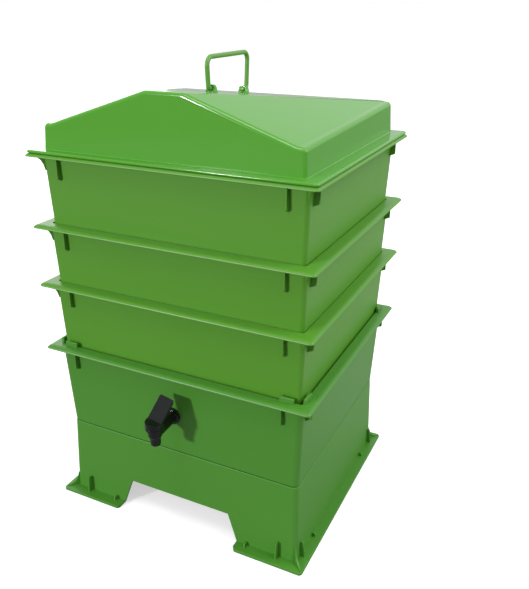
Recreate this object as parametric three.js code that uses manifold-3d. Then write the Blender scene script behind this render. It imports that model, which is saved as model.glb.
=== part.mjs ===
// Stacking wormery in moulded plastic: a stand, a liquid collector with a tap, three
// perforated trays and a gabled lid with a swinging bail handle.
// Millimetres, +Z up, the tap side faces -Y. The origin lies on the floor, under the
// centre of the outer box.
import * as THREE from 'three';
import { ConvexGeometry } from 'three/addons/geometries/ConvexGeometry.js';
import { mergeVertices } from 'three/addons/utils/BufferGeometryUtils.js';
import Module from 'manifold-3d';

const wasm = await Module();
wasm.setup();

// Plan of every tray flange
const trayWidth = 425;
const trayDepth = 380;

// Stack heights: the stand, then the rise from one flange top to the next
const standHeight = 127;
const sumpRise = 137;
const lowerRise = 101;
const middleRise = 88;
const topRise = 101;

// Moulded walls
const wall = 2.6;
const flangeThickness = 3;
const lipHeight = 5;
const lipThickness = 2.5;
const flangeCorner = 9;
const wallCorner = 6;
const seatGap = 0.3;
const overrun = 5;
const cornerSteps = 3;

// Flange level of each container, measured from the floor
const sumpLevel = standHeight + sumpRise;
const lowerLevel = sumpLevel + lowerRise;
const middleLevel = lowerLevel + middleRise;
const topLevel = middleLevel + topRise;

// Finishes
const greenPlastic = () => new THREE.MeshStandardMaterial({ color: 0x5a9e3c, roughness: 0.34, metalness: 0 });
const lidPlastic = () => new THREE.MeshStandardMaterial({ color: 0x5aa63c, roughness: 0.26, metalness: 0 });
const blackPlastic = () => new THREE.MeshStandardMaterial({ color: 0x17181c, roughness: 0.4, metalness: 0 });
const blackRubber = () => new THREE.MeshStandardMaterial({ color: 0x24242a, roughness: 0.75, metalness: 0 });

// A closed geometry as a solid that can be joined and cut
function toSolid(geometry) {
  const bare = new THREE.BufferGeometry();
  bare.setAttribute('position', geometry.getAttribute('position').clone());
  if (geometry.index) bare.setIndex(geometry.index.clone());
  const merged = mergeVertices(bare);
  return new wasm.Manifold(new wasm.Mesh({
    numProp: 3,
    vertProperties: Float32Array.from(merged.getAttribute('position').array),
    triVerts: Uint32Array.from(merged.index.array),
  }));
}

// A solid back as a geometry
function toGeometry(solid) {
  const mesh = solid.getMesh();
  const geometry = new THREE.BufferGeometry();
  geometry.setAttribute('position', new THREE.Float32BufferAttribute(mesh.vertProperties, 3));
  geometry.setIndex(new THREE.BufferAttribute(mesh.triVerts, 1));
  geometry.computeVertexNormals();
  return geometry;
}

// All the given solids joined into one
function join(solids) {
  return solids.reduce((whole, solid) => whole.add(solid));
}

// The first solid with the others cut out of it
function cut(base, tools) {
  return tools.reduce((rest, tool) => rest.subtract(tool), base);
}

// A named mesh in its place
function piece(name, solid, material, z = 0) {
  const mesh = new THREE.Mesh(toGeometry(solid), material);
  mesh.name = name;
  mesh.position.z = z;
  return mesh;
}

// A rectangle with rounded corners about the origin
function roundedOutline(halfWidth, halfDepth, radius) {
  const right = halfWidth - radius;
  const back = halfDepth - radius;
  const outline = new THREE.Shape();
  outline.absarc(right, back, radius, 0, Math.PI / 2);
  outline.absarc(-right, back, radius, Math.PI / 2, Math.PI);
  outline.absarc(-right, -back, radius, Math.PI, 1.5 * Math.PI);
  outline.absarc(right, -back, radius, 1.5 * Math.PI, 2 * Math.PI);
  return outline;
}

// A flat plate between two heights
function plate(outline, bottom, top) {
  const geometry = new THREE.ExtrudeGeometry(outline, {
    depth: top - bottom,
    bevelEnabled: false,
    curveSegments: cornerSteps,
  });
  return toSolid(geometry.translate(0, 0, bottom));
}

// A solid through rounded rectangles at rising heights
function loft(sections) {
  const rings = sections.map(({ halfWidth, halfDepth, radius, z }) => {
    const points = roundedOutline(halfWidth, halfDepth, radius).getPoints(cornerSteps);
    if (points.at(-1).distanceTo(points[0]) < radius / 100) points.pop();
    return points.map((point) => [point.x, point.y, z]);
  });
  const count = rings[0].length;
  const index = [];
  for (let ring = 0; ring < rings.length - 1; ring += 1) {
    for (let step = 0; step < count; step += 1) {
      const next = (step + 1) % count;
      const low = ring * count;
      const high = low + count;
      index.push(low + step, low + next, high + next, low + step, high + next, high + step);
    }
  }
  const last = (rings.length - 1) * count;
  for (let step = 1; step < count - 1; step += 1) {
    index.push(0, step + 1, step);
    index.push(last, last + step, last + step + 1);
  }
  const geometry = new THREE.BufferGeometry();
  geometry.setAttribute('position', new THREE.Float32BufferAttribute(rings.flat(2), 3));
  geometry.setIndex(index);
  return toSolid(geometry);
}

// A box between two corners
function block(x1, x2, y1, y2, z1, z2) {
  const geometry = new THREE.BoxGeometry(x2 - x1, y2 - y1, z2 - z1);
  return toSolid(geometry.translate((x1 + x2) / 2, (y1 + y2) / 2, (z1 + z2) / 2));
}

// An upright cylinder between two heights
function post(radius, bottom, top, sides, x = 0, y = 0) {
  const geometry = new THREE.CylinderGeometry(radius, radius, top - bottom, sides);
  geometry.rotateX(Math.PI / 2);
  return toSolid(geometry.translate(x, y, (bottom + top) / 2));
}

// A cylinder along Y between two depths, as seen from the front: y1 is nearer
function rod(radius, y1, y2, sides, x = 0, z = 0) {
  const geometry = new THREE.CylinderGeometry(radius, radius, y2 - y1, sides);
  return toSolid(geometry.translate(x, (y1 + y2) / 2, z));
}

// An outline drawn in x and z, given thickness along Y about y = 0
function upright(points, thickness) {
  const shape = new THREE.Shape(points.map(([x, z]) => new THREE.Vector2(x, z)));
  const geometry = new THREE.ExtrudeGeometry(shape, { depth: thickness, bevelEnabled: false });
  geometry.translate(0, 0, -thickness / 2);
  return geometry.rotateX(Math.PI / 2);
}

// The four signs of the corners
const corners = [[1, 1], [-1, 1], [-1, -1], [1, -1]];

// How far the flange stands out over a wall, and how much the wall leans in with depth
const trayForm = { overhang: 17, leanShare: 0.037 };
const sumpForm = { overhang: 15.5, leanShare: 0.045 };

// Half sizes of a leaning wall, inset from its outer face, at a depth under the flange top
function wallSection(depth, inset, form) {
  const shrink = form.overhang + form.leanShare * depth + inset;
  return {
    halfWidth: trayWidth / 2 - shrink,
    halfDepth: trayDepth / 2 - shrink,
    radius: wallCorner - inset,
    z: -depth,
  };
}

// The flat flange with its lip turned down, top face at z = 0
function flangeRim(halfWidth, halfDepth) {
  const whole = plate(roundedOutline(halfWidth, halfDepth, flangeCorner), -lipHeight, 0);
  const insideLip = roundedOutline(
    halfWidth - lipThickness,
    halfDepth - lipThickness,
    flangeCorner - lipThickness,
  );
  return cut(whole, [plate(insideLip, -lipHeight - overrun, -flangeThickness)]);
}

// Gussets under a flange: two on each side, and one across each corner
const gussetThickness = 2.5;
const gussetLowerShare = 0.88;
const frontGusset = { reach: 9.5, drop: 38, along: trayWidth / 2 - 41 };
const sideGusset = { reach: 7.5, drop: 31, along: trayDepth / 2 - 32 };
const cornerGussetDrop = 24;
const cornerGussetEdge = 3;
const webSteps = 4;

// One gusset: deepest at the wall and a little shallower at its outer edge
function gussetPlate({ reach, drop }) {
  return upright([
    [-wall / 2, -drop],
    [-wall / 2, -flangeThickness / 2],
    [reach, -flangeThickness / 2],
    [reach, -drop * gussetLowerShare],
  ], gussetThickness);
}

function sideGussets(form) {
  const head = wallSection(0, 0, form);
  const solids = [];
  for (const side of [-1, 1]) {
    for (const end of [-1, 1]) {
      const front = gussetPlate(frontGusset).rotateZ(end * Math.PI / 2);
      solids.push(toSolid(front.translate(side * frontGusset.along, end * head.halfDepth, 0)));
      const flank = gussetPlate(sideGusset).rotateZ(end > 0 ? 0 : Math.PI);
      solids.push(toSolid(flank.translate(end * head.halfWidth, side * sideGusset.along, 0)));
    }
  }
  return solids;
}

// A web with a hollow curved edge, drawn outward from a wall corner; it runs up or down
function cornerWeb(reach, drop, edge, buried) {
  const level = Math.sign(drop) * edge;
  const shape = new THREE.Shape();
  shape.moveTo(-buried, 0);
  shape.lineTo(-buried, drop);
  shape.lineTo(0, drop);
  shape.quadraticCurveTo(edge, level, reach, level);
  shape.lineTo(reach, 0);
  const geometry = new THREE.ExtrudeGeometry(shape, {
    depth: gussetThickness,
    bevelEnabled: false,
    curveSegments: webSteps,
  });
  geometry.translate(0, 0, -gussetThickness / 2);
  return geometry.rotateX(Math.PI / 2);
}

// The same web at all four corners of a rounded outline
function cornerWebs(outline, reach, drop, z) {
  const sunk = outline.radius * (1 - Math.SQRT1_2);
  return corners.map(([sideX, sideY]) => {
    const web = cornerWeb(reach, drop, cornerGussetEdge, wall / 2);
    web.rotateZ(Math.atan2(sideY, sideX));
    web.translate(sideX * (outline.halfWidth - sunk), sideY * (outline.halfDepth - sunk), z);
    return toSolid(web);
  });
}

function cornerGussets(form) {
  const reach = (form.overhang - lipThickness) / Math.SQRT1_2;
  return cornerWebs(wallSection(0, 0, form), reach, -cornerGussetDrop, -flangeThickness / 2);
}

// Trays
const nestDepth = 26;
const trayFloor = 3;
const mouthChamfer = 3.4;
const stackRibWidth = 8;
const stackRibReach = 6;
const stackRibOffset = 100;
const drainRadius = 4.5;
const drainColumns = 6;
const drainRows = 6;
const drainSides = 6;
const drainPitchX = 54;
const drainPitchY = 48;

// The hollow of a container: a chamfered mouth, then the leaning inner faces
function hollow(depth, form) {
  const mouth = wallSection(0, wall - mouthChamfer, form);
  return loft([
    wallSection(depth, wall, form),
    wallSection(mouthChamfer, wall, form),
    mouth,
    { ...mouth, z: overrun },
  ]);
}

// Ribs inside a container that carry the floor of the tray above, trimmed to the wall
function stackRibs(floorDepth, form) {
  const top = -nestDepth - seatGap;
  const bottom = -floorDepth - wall / 2;
  const foot = wallSection(floorDepth, wall + stackRibReach, form);
  const head = wallSection(0, 0, form);
  const half = stackRibWidth / 2;
  const solids = [];
  for (const side of [-1, 1]) {
    const centre = side * stackRibOffset;
    solids.push(block(centre - half, centre + half, foot.halfDepth, head.halfDepth, bottom, top));
    solids.push(block(centre - half, centre + half, -head.halfDepth, -foot.halfDepth, bottom, top));
    solids.push(block(foot.halfWidth, head.halfWidth, centre - half, centre + half, bottom, top));
    solids.push(block(-head.halfWidth, -foot.halfWidth, centre - half, centre + half, bottom, top));
  }
  const envelope = loft([
    wallSection(floorDepth + wall, wall / 4, form),
    wallSection(0, wall / 4, form),
  ]);
  return join(solids).intersect(envelope);
}

// Drain holes through a tray floor, in rows and columns about the centre
function drainHoles(height) {
  const holes = [];
  for (let column = 0; column < drainColumns; column += 1) {
    for (let row = 0; row < drainRows; row += 1) {
      const x = (column - (drainColumns - 1) / 2) * drainPitchX;
      const y = (row - (drainRows - 1) / 2) * drainPitchY;
      holes.push(post(drainRadius, -height - overrun, -height + trayFloor + overrun, drainSides, x, y));
    }
  }
  return holes;
}

// One tray whose flange top stands a given rise above the flange it sits in
function makeTray(name, rise, level) {
  const height = rise + nestDepth;
  const body = join([
    loft([wallSection(height, 0, trayForm), wallSection(0, 0, trayForm)]),
    flangeRim(trayWidth / 2, trayDepth / 2),
    ...sideGussets(trayForm),
    ...cornerGussets(trayForm),
  ]);
  const shell = cut(body, [hollow(height - trayFloor, trayForm)]);
  const tray = cut(shell.add(stackRibs(height - trayFloor, trayForm)), drainHoles(height));
  return piece(name, tray, greenPlastic(), level);
}

// Stand: a skirt with a foot flange, an inward lip under the collector and two cut-outs
const standWall = 3;
const standTopInset = 21.5;
const standFlareShare = 0.032;
const standCorner = 8;
const rimChamfer = 1.5;
const standLip = 3;
const standLipReach = 10;
const footInset = 3;
const footThickness = 4;
const archTop = 47;
const archTopHalf = 84.5;
const archFootHalf = 101;
const footEndCorner = 12;
const tallRib = { height: 30, across: trayWidth / 2 - 47, along: trayDepth / 2 - 33 };
const lowRib = { height: 10, across: trayWidth / 2 - 97, along: trayDepth / 2 - 79 };
const standRibReach = 12;
const standRibNeck = 4;

// Half sizes of the stand's skirt, inset from its outer face, at a height over the floor
function skirtSection(height, inset) {
  const shrink = standTopInset - standFlareShare * (standHeight - height) + inset;
  return {
    halfWidth: trayWidth / 2 - shrink,
    halfDepth: trayDepth / 2 - shrink,
    radius: standCorner - inset,
    z: height,
  };
}

// A foot gusset: wide on the flange and narrow at its head
function footRib(height) {
  return upright([
    [-standWall / 2, footThickness / 2],
    [standRibReach, footThickness / 2],
    [standRibNeck, height],
    [-standWall / 2, height],
  ], gussetThickness);
}

function footRibs() {
  const base = skirtSection(0, 0);
  const solids = [];
  for (const { height, across, along } of [tallRib, lowRib]) {
    for (const side of [-1, 1]) {
      for (const end of [-1, 1]) {
        const front = footRib(height).rotateZ(end * Math.PI / 2);
        solids.push(toSolid(front.translate(side * across, end * base.halfDepth, 0)));
        const flank = footRib(height).rotateZ(end > 0 ? 0 : Math.PI);
        solids.push(toSolid(flank.translate(end * base.halfWidth, side * along, 0)));
      }
    }
  }
  return solids;
}

function footCornerWebs() {
  const base = skirtSection(0, 0);
  const reach = (trayWidth / 2 - footInset - base.halfWidth) / Math.SQRT1_2;
  return cornerWebs(base, reach, cornerGussetDrop, footThickness / 2);
}

// The cut-out's outline from below the floor to its top, with the foot flange rounded off beside it
function archOutline() {
  const slope = (archFootHalf - archTopHalf) / archTop;
  return [
    [-archFootHalf - slope * overrun, -overrun],
    [archFootHalf + slope * overrun, -overrun],
    [archTopHalf, archTop],
    [-archTopHalf, archTop],
  ];
}

// What rounds off the end of the foot flange beside one end of a cut-out
function footEndTool(side, end) {
  const edge = trayDepth / 2;
  const at = (x, y) => [side * x, end * y];
  const tool = new THREE.Shape();
  tool.moveTo(...at(archTopHalf, edge + overrun));
  tool.lineTo(...at(archFootHalf + footEndCorner, edge + overrun));
  tool.lineTo(...at(archFootHalf + footEndCorner, edge));
  tool.quadraticCurveTo(...at(archFootHalf, edge), ...at(archFootHalf, edge - footEndCorner));
  tool.lineTo(...at(archTopHalf, edge - footEndCorner));
  const geometry = new THREE.ExtrudeGeometry(tool, {
    depth: footThickness + 2 * overrun,
    bevelEnabled: false,
    curveSegments: webSteps,
  });
  return toSolid(geometry.translate(0, 0, -overrun));
}

function makeStand() {
  const lipBottom = standHeight - standLip;
  const footHalfWidth = trayWidth / 2 - footInset;
  const foot = plate(roundedOutline(footHalfWidth, trayDepth / 2, flangeCorner), 0, footThickness);
  const body = join([
    loft([
      skirtSection(0, 0),
      skirtSection(standHeight - rimChamfer, 0),
      { ...skirtSection(standHeight, rimChamfer), radius: standCorner - rimChamfer },
    ]),
    foot,
    ...footRibs(),
    ...footCornerWebs(),
  ]);
  const below = loft([
    { ...skirtSection(0, standWall), z: -overrun },
    skirtSection(lipBottom, standWall),
  ]);
  const opening = { ...skirtSection(standHeight, standWall + standLipReach), radius: standCorner };
  const through = loft([{ ...opening, z: 0 }, { ...opening, z: standHeight + overrun }]);
  const arch = toSolid(upright(archOutline(), trayDepth + 2 * overrun));
  const ends = corners.map(([side, end]) => footEndTool(side, end));
  return piece('stand', cut(body, [below, through, arch, ...ends]), greenPlastic());
}

// Liquid collector: a raised floor that drains to the tap, over an open skirt that steps
// in to a plug inside the stand's lip
const sumpFloorDepth = 96;
const sumpFloor = 3;
const sumpHemFillet = 2.5;
const sumpPlugDepth = 12;
const sumpPlugGap = 1.5;
const sumpShoulder = 3;
const locatorHeight = 7;
const locatorWall = 4;
const locatorArm = 22;
const locatorSlot = 9;
const locatorClearance = 0.6;

// The tap hole in the front wall
const tapSideOffset = -3.4;
const tapDrop = 72.2;
const tapTailRadius = 8;
const tapHoleClearance = 0.4;

// Raised angles on the collector's flange that centre the tray above, open at the corner
function locators() {
  const mouth = wallSection(0, wall - mouthChamfer, sumpForm);
  const innerX = mouth.halfWidth + locatorClearance;
  const innerY = mouth.halfDepth + locatorClearance;
  const solids = [];
  for (const [sx, sy] of corners) {
    const slotX = sx * (innerX - locatorSlot);
    const armX = sx * (innerX - locatorSlot - locatorArm);
    const faceY = sy * innerY;
    const outY = sy * (innerY + locatorWall);
    solids.push(block(
      Math.min(slotX, armX), Math.max(slotX, armX),
      Math.min(faceY, outY), Math.max(faceY, outY),
      -flangeThickness / 2, locatorHeight,
    ));
    const slotY = sy * (innerY - locatorSlot);
    const armY = sy * (innerY - locatorSlot - locatorArm);
    const faceX = sx * innerX;
    const outX = sx * (innerX + locatorWall);
    solids.push(block(
      Math.min(faceX, outX), Math.max(faceX, outX),
      Math.min(slotY, armY), Math.max(slotY, armY),
      -flangeThickness / 2, locatorHeight,
    ));
  }
  return solids;
}

// The plug under the collector, just inside the stand's lip, inset from its outer face
function plugSection(depth, inset) {
  const shrink = standTopInset + standWall + standLipReach + sumpPlugGap + inset;
  return {
    halfWidth: trayWidth / 2 - shrink,
    halfDepth: trayDepth / 2 - shrink,
    radius: standCorner - inset,
    z: -depth,
  };
}

function makeSump() {
  const seat = sumpRise - seatGap;
  const foot = seat + sumpPlugDepth;
  const body = join([
    loft([
      plugSection(foot, 0),
      plugSection(seat, 0),
      { ...wallSection(seat, sumpHemFillet, sumpForm), radius: wallCorner - wall },
      wallSection(seat - sumpHemFillet, 0, sumpForm),
      wallSection(0, 0, sumpForm),
    ]),
    flangeRim(trayWidth / 2, trayDepth / 2),
    ...sideGussets(sumpForm),
    ...cornerGussets(sumpForm),
    ...locators(),
  ]);
  const underFloor = loft([
    { ...plugSection(foot, wall), z: -foot - overrun },
    plugSection(seat - sumpShoulder, wall),
    { ...wallSection(seat - sumpShoulder, sumpHemFillet + wall / 2, sumpForm), radius: wallCorner - wall },
    wallSection(seat - sumpHemFillet - sumpShoulder, wall, sumpForm),
    wallSection(sumpFloorDepth + sumpFloor, wall, sumpForm),
  ]);
  const tapHole = rod(
    tapTailRadius + tapHoleClearance,
    -trayDepth / 2,
    -wallSection(tapDrop, wall, sumpForm).halfDepth + overrun,
    tapSides,
    tapSideOffset,
    -tapDrop,
  );
  const shell = cut(body, [hollow(sumpFloorDepth, sumpForm), underFloor, tapHole]);
  return piece('sump', shell.add(stackRibs(sumpFloorDepth, sumpForm)), greenPlastic(), sumpLevel);
}

// Tap, drawn level: y runs back toward the wall's outer face at 0, z runs up
const tapSides = 16;
const washerThickness = 2;
const washerRadius = 12.4;
const tapFlangeRadius = 13.2;
const tapFlangeThickness = 3.2;
const tapTailLength = 20;
const tapBore = 4.8;
const barrelRadius = 9.5;
const tapReach = 46.6;
const housingRadius = 10.2;
const rimRadius = 13.2;
const rimBottom = 6;
const housingTop = 9.7;
const waistDrop = 3.5;
const spoutTopRadius = 7.7;
const spoutShoulder = 10;
const spoutRadius = 7.3;
const spoutDrop = 19.5;
const chamberRadius = 8;
const chamberDrop = 5.5;
const runningGap = 0.3;
const nutThickness = 7;
const nutRadius = 14.5;
const nutSides = 6;
const plugPort = 3.6;
const grooveBottom = 6;
const grooveTop = 8.6;
const grooveRadius = 6.2;
const ringSection = 0.7;
const ringSides = 6;
const capRadius = 13.2;
const capTop = 19.3;
const paddleHalf = 13.2;
const paddleThickness = 5;
const paddleReach = 27;
const paddleRise = 25.6;
const paddleTurn = THREE.MathUtils.degToRad(14);

const washerFront = seatGap + washerThickness;
const flangeBack = washerFront + seatGap;
const flangeFront = flangeBack + tapFlangeThickness;
const capBottom = housingTop + runningGap;

// The housing and spout, turned about the upright axis
function tapHousing() {
  const profile = [
    [0, -spoutDrop],
    [spoutRadius, -spoutDrop],
    [spoutTopRadius, -spoutShoulder],
    [housingRadius, -waistDrop],
    [housingRadius, rimBottom],
    [rimRadius, rimBottom],
    [rimRadius, housingTop],
    [0, housingTop],
  ].map(([radius, z]) => new THREE.Vector2(radius, z));
  const geometry = new THREE.LatheGeometry(profile, tapSides);
  geometry.rotateX(Math.PI / 2);
  return toSolid(geometry.translate(0, -tapReach, 0));
}

function makeTapBody() {
  const solid = join([
    rod(tapTailRadius, -flangeFront, tapTailLength, tapSides),
    rod(tapFlangeRadius, -flangeFront, -flangeBack, tapSides),
    rod(barrelRadius, -tapReach + chamberRadius, -flangeBack, tapSides),
    tapHousing(),
  ]);
  const chamber = post(chamberRadius, -chamberDrop, housingTop + overrun, tapSides, 0, -tapReach);
  const inlet = rod(tapBore, -tapReach, tapTailLength + overrun, tapSides);
  const outlet = post(tapBore, -spoutDrop - overrun, 0, tapSides, 0, -tapReach);
  return piece('tap_body', cut(solid, [chamber, inlet, outlet]), blackPlastic());
}

// Plug and paddle lever, one moulding: the lever's cap turns on the housing's rim
function makeTapLever() {
  const plugRadius = chamberRadius - runningGap;
  const plug = join([
    post(plugRadius, -chamberDrop + runningGap, capTop - paddleThickness / 2, tapSides),
    post(capRadius, capBottom, capTop, tapSides),
  ]);
  const band = post(housingRadius, grooveBottom, grooveTop, tapSides);
  const groove = cut(band, [post(grooveRadius, 0, housingTop, tapSides)]);
  const drop = post(plugPort, -spoutDrop, plugPort, tapSides);
  const portGeometry = new THREE.CylinderGeometry(plugPort, plugPort, housingRadius, tapSides);
  const port = toSolid(portGeometry.translate(0, housingRadius / 2, 0).rotateZ(-paddleTurn));
  const paddle = toSolid(upright([
    [0, capTop - paddleThickness],
    [paddleThickness, capTop - paddleThickness],
    [paddleReach, capTop + paddleRise - paddleThickness],
    [paddleReach, capTop + paddleRise],
    [0, capTop],
  ], 2 * paddleHalf).rotateZ(Math.PI / 2 - paddleTurn));
  const lever = piece('tap_lever', cut(plug, [groove, drop, port]).add(paddle), blackPlastic());
  lever.position.y = -tapReach;
  return lever;
}

// The sealing ring in the plug's groove
function makePlugRing() {
  const middle = (grooveRadius + chamberRadius) / 2;
  const geometry = new THREE.TorusGeometry(middle, ringSection, ringSides, tapSides);
  const ring = piece('tap_plug_ring', toSolid(geometry), blackRubber(), (grooveBottom + grooveTop) / 2);
  ring.position.y = -tapReach;
  return ring;
}

function makeWasher(name, near) {
  const disc = rod(washerRadius, near, near + washerThickness, tapSides);
  const hole = rod(tapTailRadius + runningGap, near - overrun, near + washerThickness + overrun, tapSides);
  return piece(name, cut(disc, [hole]), blackRubber());
}

function makeBackNut() {
  const near = wall + seatGap * 3 + washerThickness;
  const nut = rod(nutRadius, near, near + nutThickness, nutSides);
  const hole = rod(tapTailRadius + runningGap, near - overrun, near + nutThickness + overrun, tapSides);
  return piece('tap_back_nut', cut(nut, [hole]), blackPlastic());
}

// The tap stands square to the leaning front wall
function makeTap() {
  const tap = new THREE.Group();
  tap.add(makeTapBody(), makeTapLever(), makePlugRing());
  tap.add(makeWasher('tap_outer_washer', -washerFront));
  tap.add(makeWasher('tap_inner_washer', wall + seatGap * 2));
  tap.add(makeBackNut());
  tap.rotation.x = Math.atan(sumpForm.leanShare);
  tap.position.set(
    tapSideOffset,
    -wallSection(tapDrop, 0, sumpForm).halfDepth,
    sumpLevel - tapDrop,
  );
  return tap;
}

// Lid, drawn from its seat on the top tray's flange
const lidWall = 3;
const lidInset = 22;
const lidFlangeInset = 2;
const lidFlange = 3.5;
const lidCove = 3;
const lidCorner = 5;
const lidLeanShare = 0.06;
const lidPlug = 10;
const lidPlugGap = 1.6;
const eaveFront = 35.2;
const eaveBack = 47.5;
const eaveBand = 14;
const eaveRise = 1.2;
const gableTop = 86.5;
const gableHalf = 24;

const lidHalfWidth = trayWidth / 2 - lidInset;
const lidHalfDepth = trayDepth / 2 - lidInset;

// Height of the rear slope, which falls from the gable's flat top to the back eave
const rearSlopeShare = (gableTop - eaveBack - eaveRise) / (2 * lidHalfDepth);
const rearSlope = (y) => gableTop - rearSlopeShare * (y + lidHalfDepth);

// The lid's walls, inset from the outer face, at a height over the seat
function lidSection(height, inset) {
  return {
    halfWidth: lidHalfWidth - lidLeanShare * height - inset,
    halfDepth: lidHalfDepth - lidLeanShare * height - inset,
    radius: lidCorner - inset,
    z: height,
  };
}

// Everything under the roof, lowered by a given amount: three slopes between almost flat side bands
function underRoof(lowered) {
  const slopes = [];
  const bands = [];
  const bottom = -lidPlug - overrun;
  for (const side of [-1, 1]) {
    slopes.push(new THREE.Vector3(side * gableHalf, -lidHalfDepth, gableTop - lowered));
    for (const [y, eave] of [[-lidHalfDepth, eaveFront], [lidHalfDepth, eaveBack]]) {
      const creaseX = side * (lidHalfWidth - eaveBand);
      const crease = new THREE.Vector3(creaseX, y, eave + eaveRise - lowered);
      slopes.push(crease, new THREE.Vector3(creaseX, y, bottom));
      const edgeX = side * lidHalfWidth;
      bands.push(crease, new THREE.Vector3(edgeX, y, eave - lowered), new THREE.Vector3(edgeX, y, bottom));
    }
  }
  return toSolid(new ConvexGeometry(slopes)).add(toSolid(new ConvexGeometry(bands)));
}

// Ears on the rear slope that hold the handle's pins
const earOffset = 48;
const earThickness = 6;
const earFootHalf = 8.5;
const earHeadHalf = 5.5;
const earHeight = 12;
const earRoot = 2;
const pinHeight = 7;
const rodRadius = 3.3;
const pinClearance = 0.35;
const handleSides = 8;
const earHoleSides = 16;

const hingeHeight = (y) => rearSlope(y) + pinHeight;

function makeEar(y) {
  const foot = rearSlope(y) - earRoot;
  const head = rearSlope(y) + earHeight;
  const geometry = upright([
    [-earFootHalf, foot],
    [earFootHalf, foot],
    [earHeadHalf, head],
    [-earHeadHalf, head],
  ], earThickness);
  return toSolid(geometry.translate(0, y, 0));
}

// A cylinder along the tilted hinge line
function alongHinge(radius, y1, y2, sides) {
  const from = new THREE.Vector3(0, y1, hingeHeight(y1));
  const to = new THREE.Vector3(0, y2, hingeHeight(y2));
  const length = from.distanceTo(to);
  const geometry = new THREE.CylinderGeometry(radius, radius, length, sides);
  geometry.rotateX(-Math.atan(rearSlopeShare));
  return toSolid(geometry.translate(0, (y1 + y2) / 2, (from.z + to.z) / 2));
}

function makeLid() {
  const top = gableTop + overrun;
  const outer = loft([lidSection(0, 0), lidSection(top, 0)]).intersect(underRoof(0));
  const plugInset = trayForm.overhang + wall + lidPlugGap - lidInset;
  const skirt = loft([
    { ...lidSection(0, plugInset), z: -lidPlug },
    { ...lidSection(0, plugInset), z: lidWall },
  ]);
  const rim = plate(
    roundedOutline(trayWidth / 2 - lidFlangeInset, trayDepth / 2 - lidFlangeInset, flangeCorner),
    0,
    lidFlange,
  );
  const inner = loft([
    { ...lidSection(0, lidWall), z: -lidPlug - overrun },
    lidSection(0, lidWall),
    lidSection(top, lidWall),
  ]).intersect(underRoof(lidWall));
  const cove = loft([
    { ...lidSection(0, -lidCove), z: lidFlange / 2 },
    { ...lidSection(0, -lidCove), z: lidFlange },
    { ...lidSection(0, 0), z: lidFlange + lidCove },
  ]);
  const shell = cut(join([outer, skirt, rim, cove]), [inner]);
  const ears = join([makeEar(-earOffset), makeEar(earOffset)]);
  const bore = alongHinge(
    rodRadius + pinClearance,
    -earOffset - earThickness,
    earOffset + earThickness,
    earHoleSides,
  );
  return piece('lid', shell.add(cut(ears, [bore])), lidPlastic());
}

// Bail handle: its bent ends are the pins
const handleSpan = 60;
const handleTop = 121;
const pinReach = 6;
const bendRadius = 11;
const footBend = 5;
const handleSteps = 64;

function makeHandle() {
  const pinEnd = earOffset - earThickness / 2 - pinReach / 2;
  const waypoints = [
    [-pinEnd, hingeHeight(-pinEnd), 0],
    [-handleSpan, hingeHeight(-handleSpan), footBend],
    [-handleSpan, handleTop, bendRadius],
    [handleSpan, handleTop, bendRadius],
    [handleSpan, hingeHeight(handleSpan), footBend],
    [pinEnd, hingeHeight(pinEnd), 0],
  ].map(([y, z, bend]) => ({ at: new THREE.Vector3(0, y, z), bend }));
  const path = new THREE.CurvePath();
  let from = waypoints[0].at;
  for (let turn = 1; turn < waypoints.length - 1; turn += 1) {
    const { at, bend } = waypoints[turn];
    const before = waypoints[turn - 1].at.clone().sub(at).normalize().multiplyScalar(bend).add(at);
    const after = waypoints[turn + 1].at.clone().sub(at).normalize().multiplyScalar(bend).add(at);
    path.add(new THREE.LineCurve3(from, before));
    path.add(new THREE.QuadraticBezierCurve3(before, at, after));
    from = after;
  }
  path.add(new THREE.LineCurve3(from, waypoints.at(-1).at));
  const section = new THREE.Shape();
  for (let side = 0; side < handleSides; side += 1) {
    const angle = (side + 0.5) * 2 * Math.PI / handleSides;
    const point = [rodRadius * Math.cos(angle), rodRadius * Math.sin(angle)];
    if (side === 0) section.moveTo(...point);
    else section.lineTo(...point);
  }
  const geometry = new THREE.ExtrudeGeometry(section, { steps: handleSteps, extrudePath: path });
  return piece('lid_handle', toSolid(geometry), lidPlastic());
}

function makeLidGroup() {
  const lid = new THREE.Group();
  lid.add(makeLid(), makeHandle());
  lid.position.z = topLevel + seatGap;
  return lid;
}

const wormery = new THREE.Group();
wormery.add(makeStand(), makeSump(), makeTap());
wormery.add(makeTray('lower_tray', lowerRise, lowerLevel));
wormery.add(makeTray('middle_tray', middleRise, middleLevel));
wormery.add(makeTray('top_tray', topRise, topLevel));
wormery.add(makeLidGroup());

// The origin goes under the centre of the outer box
const outerBox = new THREE.Box3().setFromObject(wormery, true);
wormery.position.x = -(outerBox.min.x + outerBox.max.x) / 2;
wormery.position.y = -(outerBox.min.y + outerBox.max.y) / 2;
wormery.updateMatrixWorld(true);

export default wormery;
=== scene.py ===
"""A stacking wormery in moulded plastic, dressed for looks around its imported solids.

Sizes in the classes are millimetres. Pieces are drawn about the middle of the trays'
plan and moved to the frame's own origin when they are finished.
"""

import logging
import math
from contextlib import contextmanager
from dataclasses import dataclass, field
from enum import Enum, IntEnum
from typing import Callable, Dict, Iterator, List, Optional, Sequence, Tuple

import bmesh
import bpy
from mathutils import Matrix, Vector


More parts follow.
